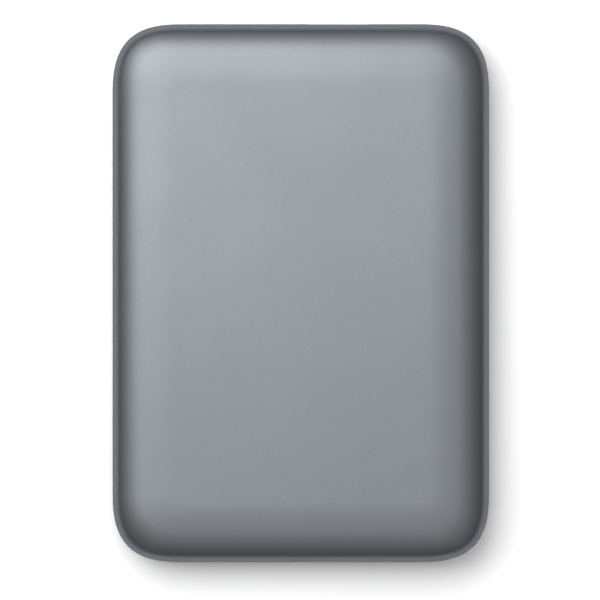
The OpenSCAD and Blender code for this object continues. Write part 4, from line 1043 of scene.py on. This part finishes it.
class DRIVE_OT_stage(bpy.types.Operator):
    """Sets the white floor, the soft panels, the dim room and the camera that looks straight down."""

    bl_idname = "drive.stage"
    bl_label = "Stage"

    def execute(self, context):
        stage = context.scene.drive_stage
        context.scene.view_settings.view_transform = "Standard"
        self.lay_floor(context.scene, stage)
        self.light_room(context.scene, stage)
        self.hang_panel(context.scene, "key_panel", stage.key_place, stage.key_size, stage.key_strength)
        self.hang_panel(context.scene, "fill_panel", stage.fill_place, stage.fill_size, stage.fill_strength)
        self.stand_camera(context.scene, stage)
        return {"FINISHED"}

    def lay_floor(self, scene, stage):
        """White paper, which the camera sees past white, so that only near shadows show on it."""
        half = 6
        plan = rectangle((-half, -half), (half, half))
        mesh = bpy.data.meshes.new("floor")
        mesh.from_pydata([(*corner, 0) for corner in plan.tolist()], [], [(0, 1, 2, 3)])
        floor = bpy.data.objects.new("floor", mesh)
        scene.collection.objects.link(floor)
        material, tree, place = begin("white_matt_paper")
        paper = add(tree, "ShaderNodeBsdfDiffuse", {"Color": linear("F3F3F3")})
        white, bright = (
            add(tree, "ShaderNodeBsdfDiffuse", {"Color": (level, level, level, 1)})
            for level in (stage.mirrored_white, stage.floor_white))
        ray = add(tree, "ShaderNodeLightPath")
        mirrored = add(tree, "ShaderNodeMath", links={
            0: ray.outputs["Is Glossy Ray"], 1: ray.outputs["Is Transmission Ray"]}, operation="MAXIMUM")
        shown = add(tree, "ShaderNodeMixShader", links={0: mirrored, 1: paper, 2: white})
        pick = add(tree, "ShaderNodeMixShader", links={0: ray.outputs["Is Camera Ray"], 1: shown, 2: bright})
        # The panels don't reach the far floor, so it turns to plain white and low views keep a white ground.
        away = add(tree, "ShaderNodeVectorMath", links={0: place}, operation="LENGTH").outputs["Value"]
        start, end = stage.near_floor
        far = add(tree, "ShaderNodeMapRange", {"From Min": start, "From Max": end}, {"Value": away})
        ground = add(tree, "ShaderNodeEmission", {"Color": (1, 1, 1, 1), "Strength": 1})
        floor_shader = add(tree, "ShaderNodeMixShader", links={0: far, 1: pick, 2: ground})
        add(tree, "ShaderNodeOutputMaterial", links={"Surface": floor_shader})
        mesh.materials.append(material)

    def light_room(self, scene, stage):
        """A dim room, as bright as the higher of two ramps of a ray's height: the ceiling and the horizon."""
        world = bpy.data.worlds.new("studio_room")
        scene.world = world
        world.use_nodes = True
        tree = world.node_tree
        tree.nodes.clear()
        ray = add(tree, "ShaderNodeTexCoord").outputs["Generated"]
        height = add(tree, "ShaderNodeSeparateXYZ", links={0: ray}).outputs["Z"]
        walls_end = 0.42
        walls = add(tree, "ShaderNodeMapRange", {
            "From Min": walls_end, "To Min": stage.room_low, "To Max": stage.room_high}, {"Value": height})
        horizon = add(tree, "ShaderNodeMapRange", {
            "From Min": 0.01, "From Max": 0.04, "To Min": 1, "To Max": 0}, {"Value": height})
        level = add(tree, "ShaderNodeMath", links={0: walls, 1: horizon}, operation="MAXIMUM")
        light = add(tree, "ShaderNodeBackground", {"Color": (1, 1, 1, 1)}, {"Strength": level})
        add(tree, "ShaderNodeOutputWorld", links={"Surface": light})

    def hang_panel(self, scene, name, place, size, strength):
        """A soft panel that faces straight down: its power is strength times pi times its area."""
        data = bpy.data.lights.new(name, "AREA")
        data.shape = "RECTANGLE"
        data.size, data.size_y = size
        data.energy = strength * math.pi * data.size * data.size_y
        panel = bpy.data.objects.new(name, data)
        scene.collection.objects.link(panel)
        panel.location = place

    def stand_camera(self, scene, stage):
        """A long lens straight above: sensor width over frame width, times the distance to the widest line."""
        distance = stage.camera_height - (CASE_TOP - EDGE_DROP)
        data = bpy.data.cameras.new("overhead_camera")
        data.lens = data.sensor_width * distance / stage.frame_width
        data.clip_start = 0.01
        camera = bpy.data.objects.new("overhead_camera", data)
        scene.collection.objects.link(camera)
        camera.location = (*stage.aim, stage.camera_height)
        scene.camera = camera


OPERATORS = (
    DRIVE_OT_top_cover, DRIVE_OT_bottom_tray, DRIVE_OT_feet, DRIVE_OT_bumpers, DRIVE_OT_port,
    DRIVE_OT_port_board, DRIVE_OT_drive_shell, DRIVE_OT_drive_board, DRIVE_OT_spindle, DRIVE_OT_head_arm,
    DRIVE_OT_arm_surrounds, DRIVE_OT_stage,
)


class DRIVE_PT_panel(bpy.types.Panel):
    """Lists the drive's pieces and their settings in the 3D view's sidebar."""

    bl_idname = "DRIVE_PT_panel"
    bl_label = "Portable drive"
    bl_space_type = "VIEW_3D"
    bl_region_type = "UI"
    bl_category = "Portable drive"

    def draw(self, context):
        scene = context.scene
        for settings in (scene.drive_case, scene.drive_finish, scene.drive_stage):
            box = self.layout.box()
            for name in settings.__annotations__:
                box.prop(settings, name)
        for operator in OPERATORS:
            self.layout.operator(operator.bl_idname)


SETTINGS = {"drive_case": CaseShape, "drive_finish": CaseFinish, "drive_stage": StageSettings}


def register():
    """Registers the classes and hangs each group of settings on the scene."""
    for item in (*SETTINGS.values(), *OPERATORS, DRIVE_PT_panel):
        bpy.utils.register_class(item)
    for name, group in SETTINGS.items():
        setattr(bpy.types.Scene, name, PointerProperty(type=group))


def unregister():
    """Takes the settings off the scene and unregisters the classes in reverse."""
    for name in SETTINGS:
        delattr(bpy.types.Scene, name)
    for item in reversed((*SETTINGS.values(), *OPERATORS, DRIVE_PT_panel)):
        bpy.utils.unregister_class(item)


def main():
    register()
    for operator in OPERATORS:
        group, name = operator.bl_idname.split(".")
        getattr(getattr(bpy.ops, group), name)()


if __name__ == "__main__":
    main()
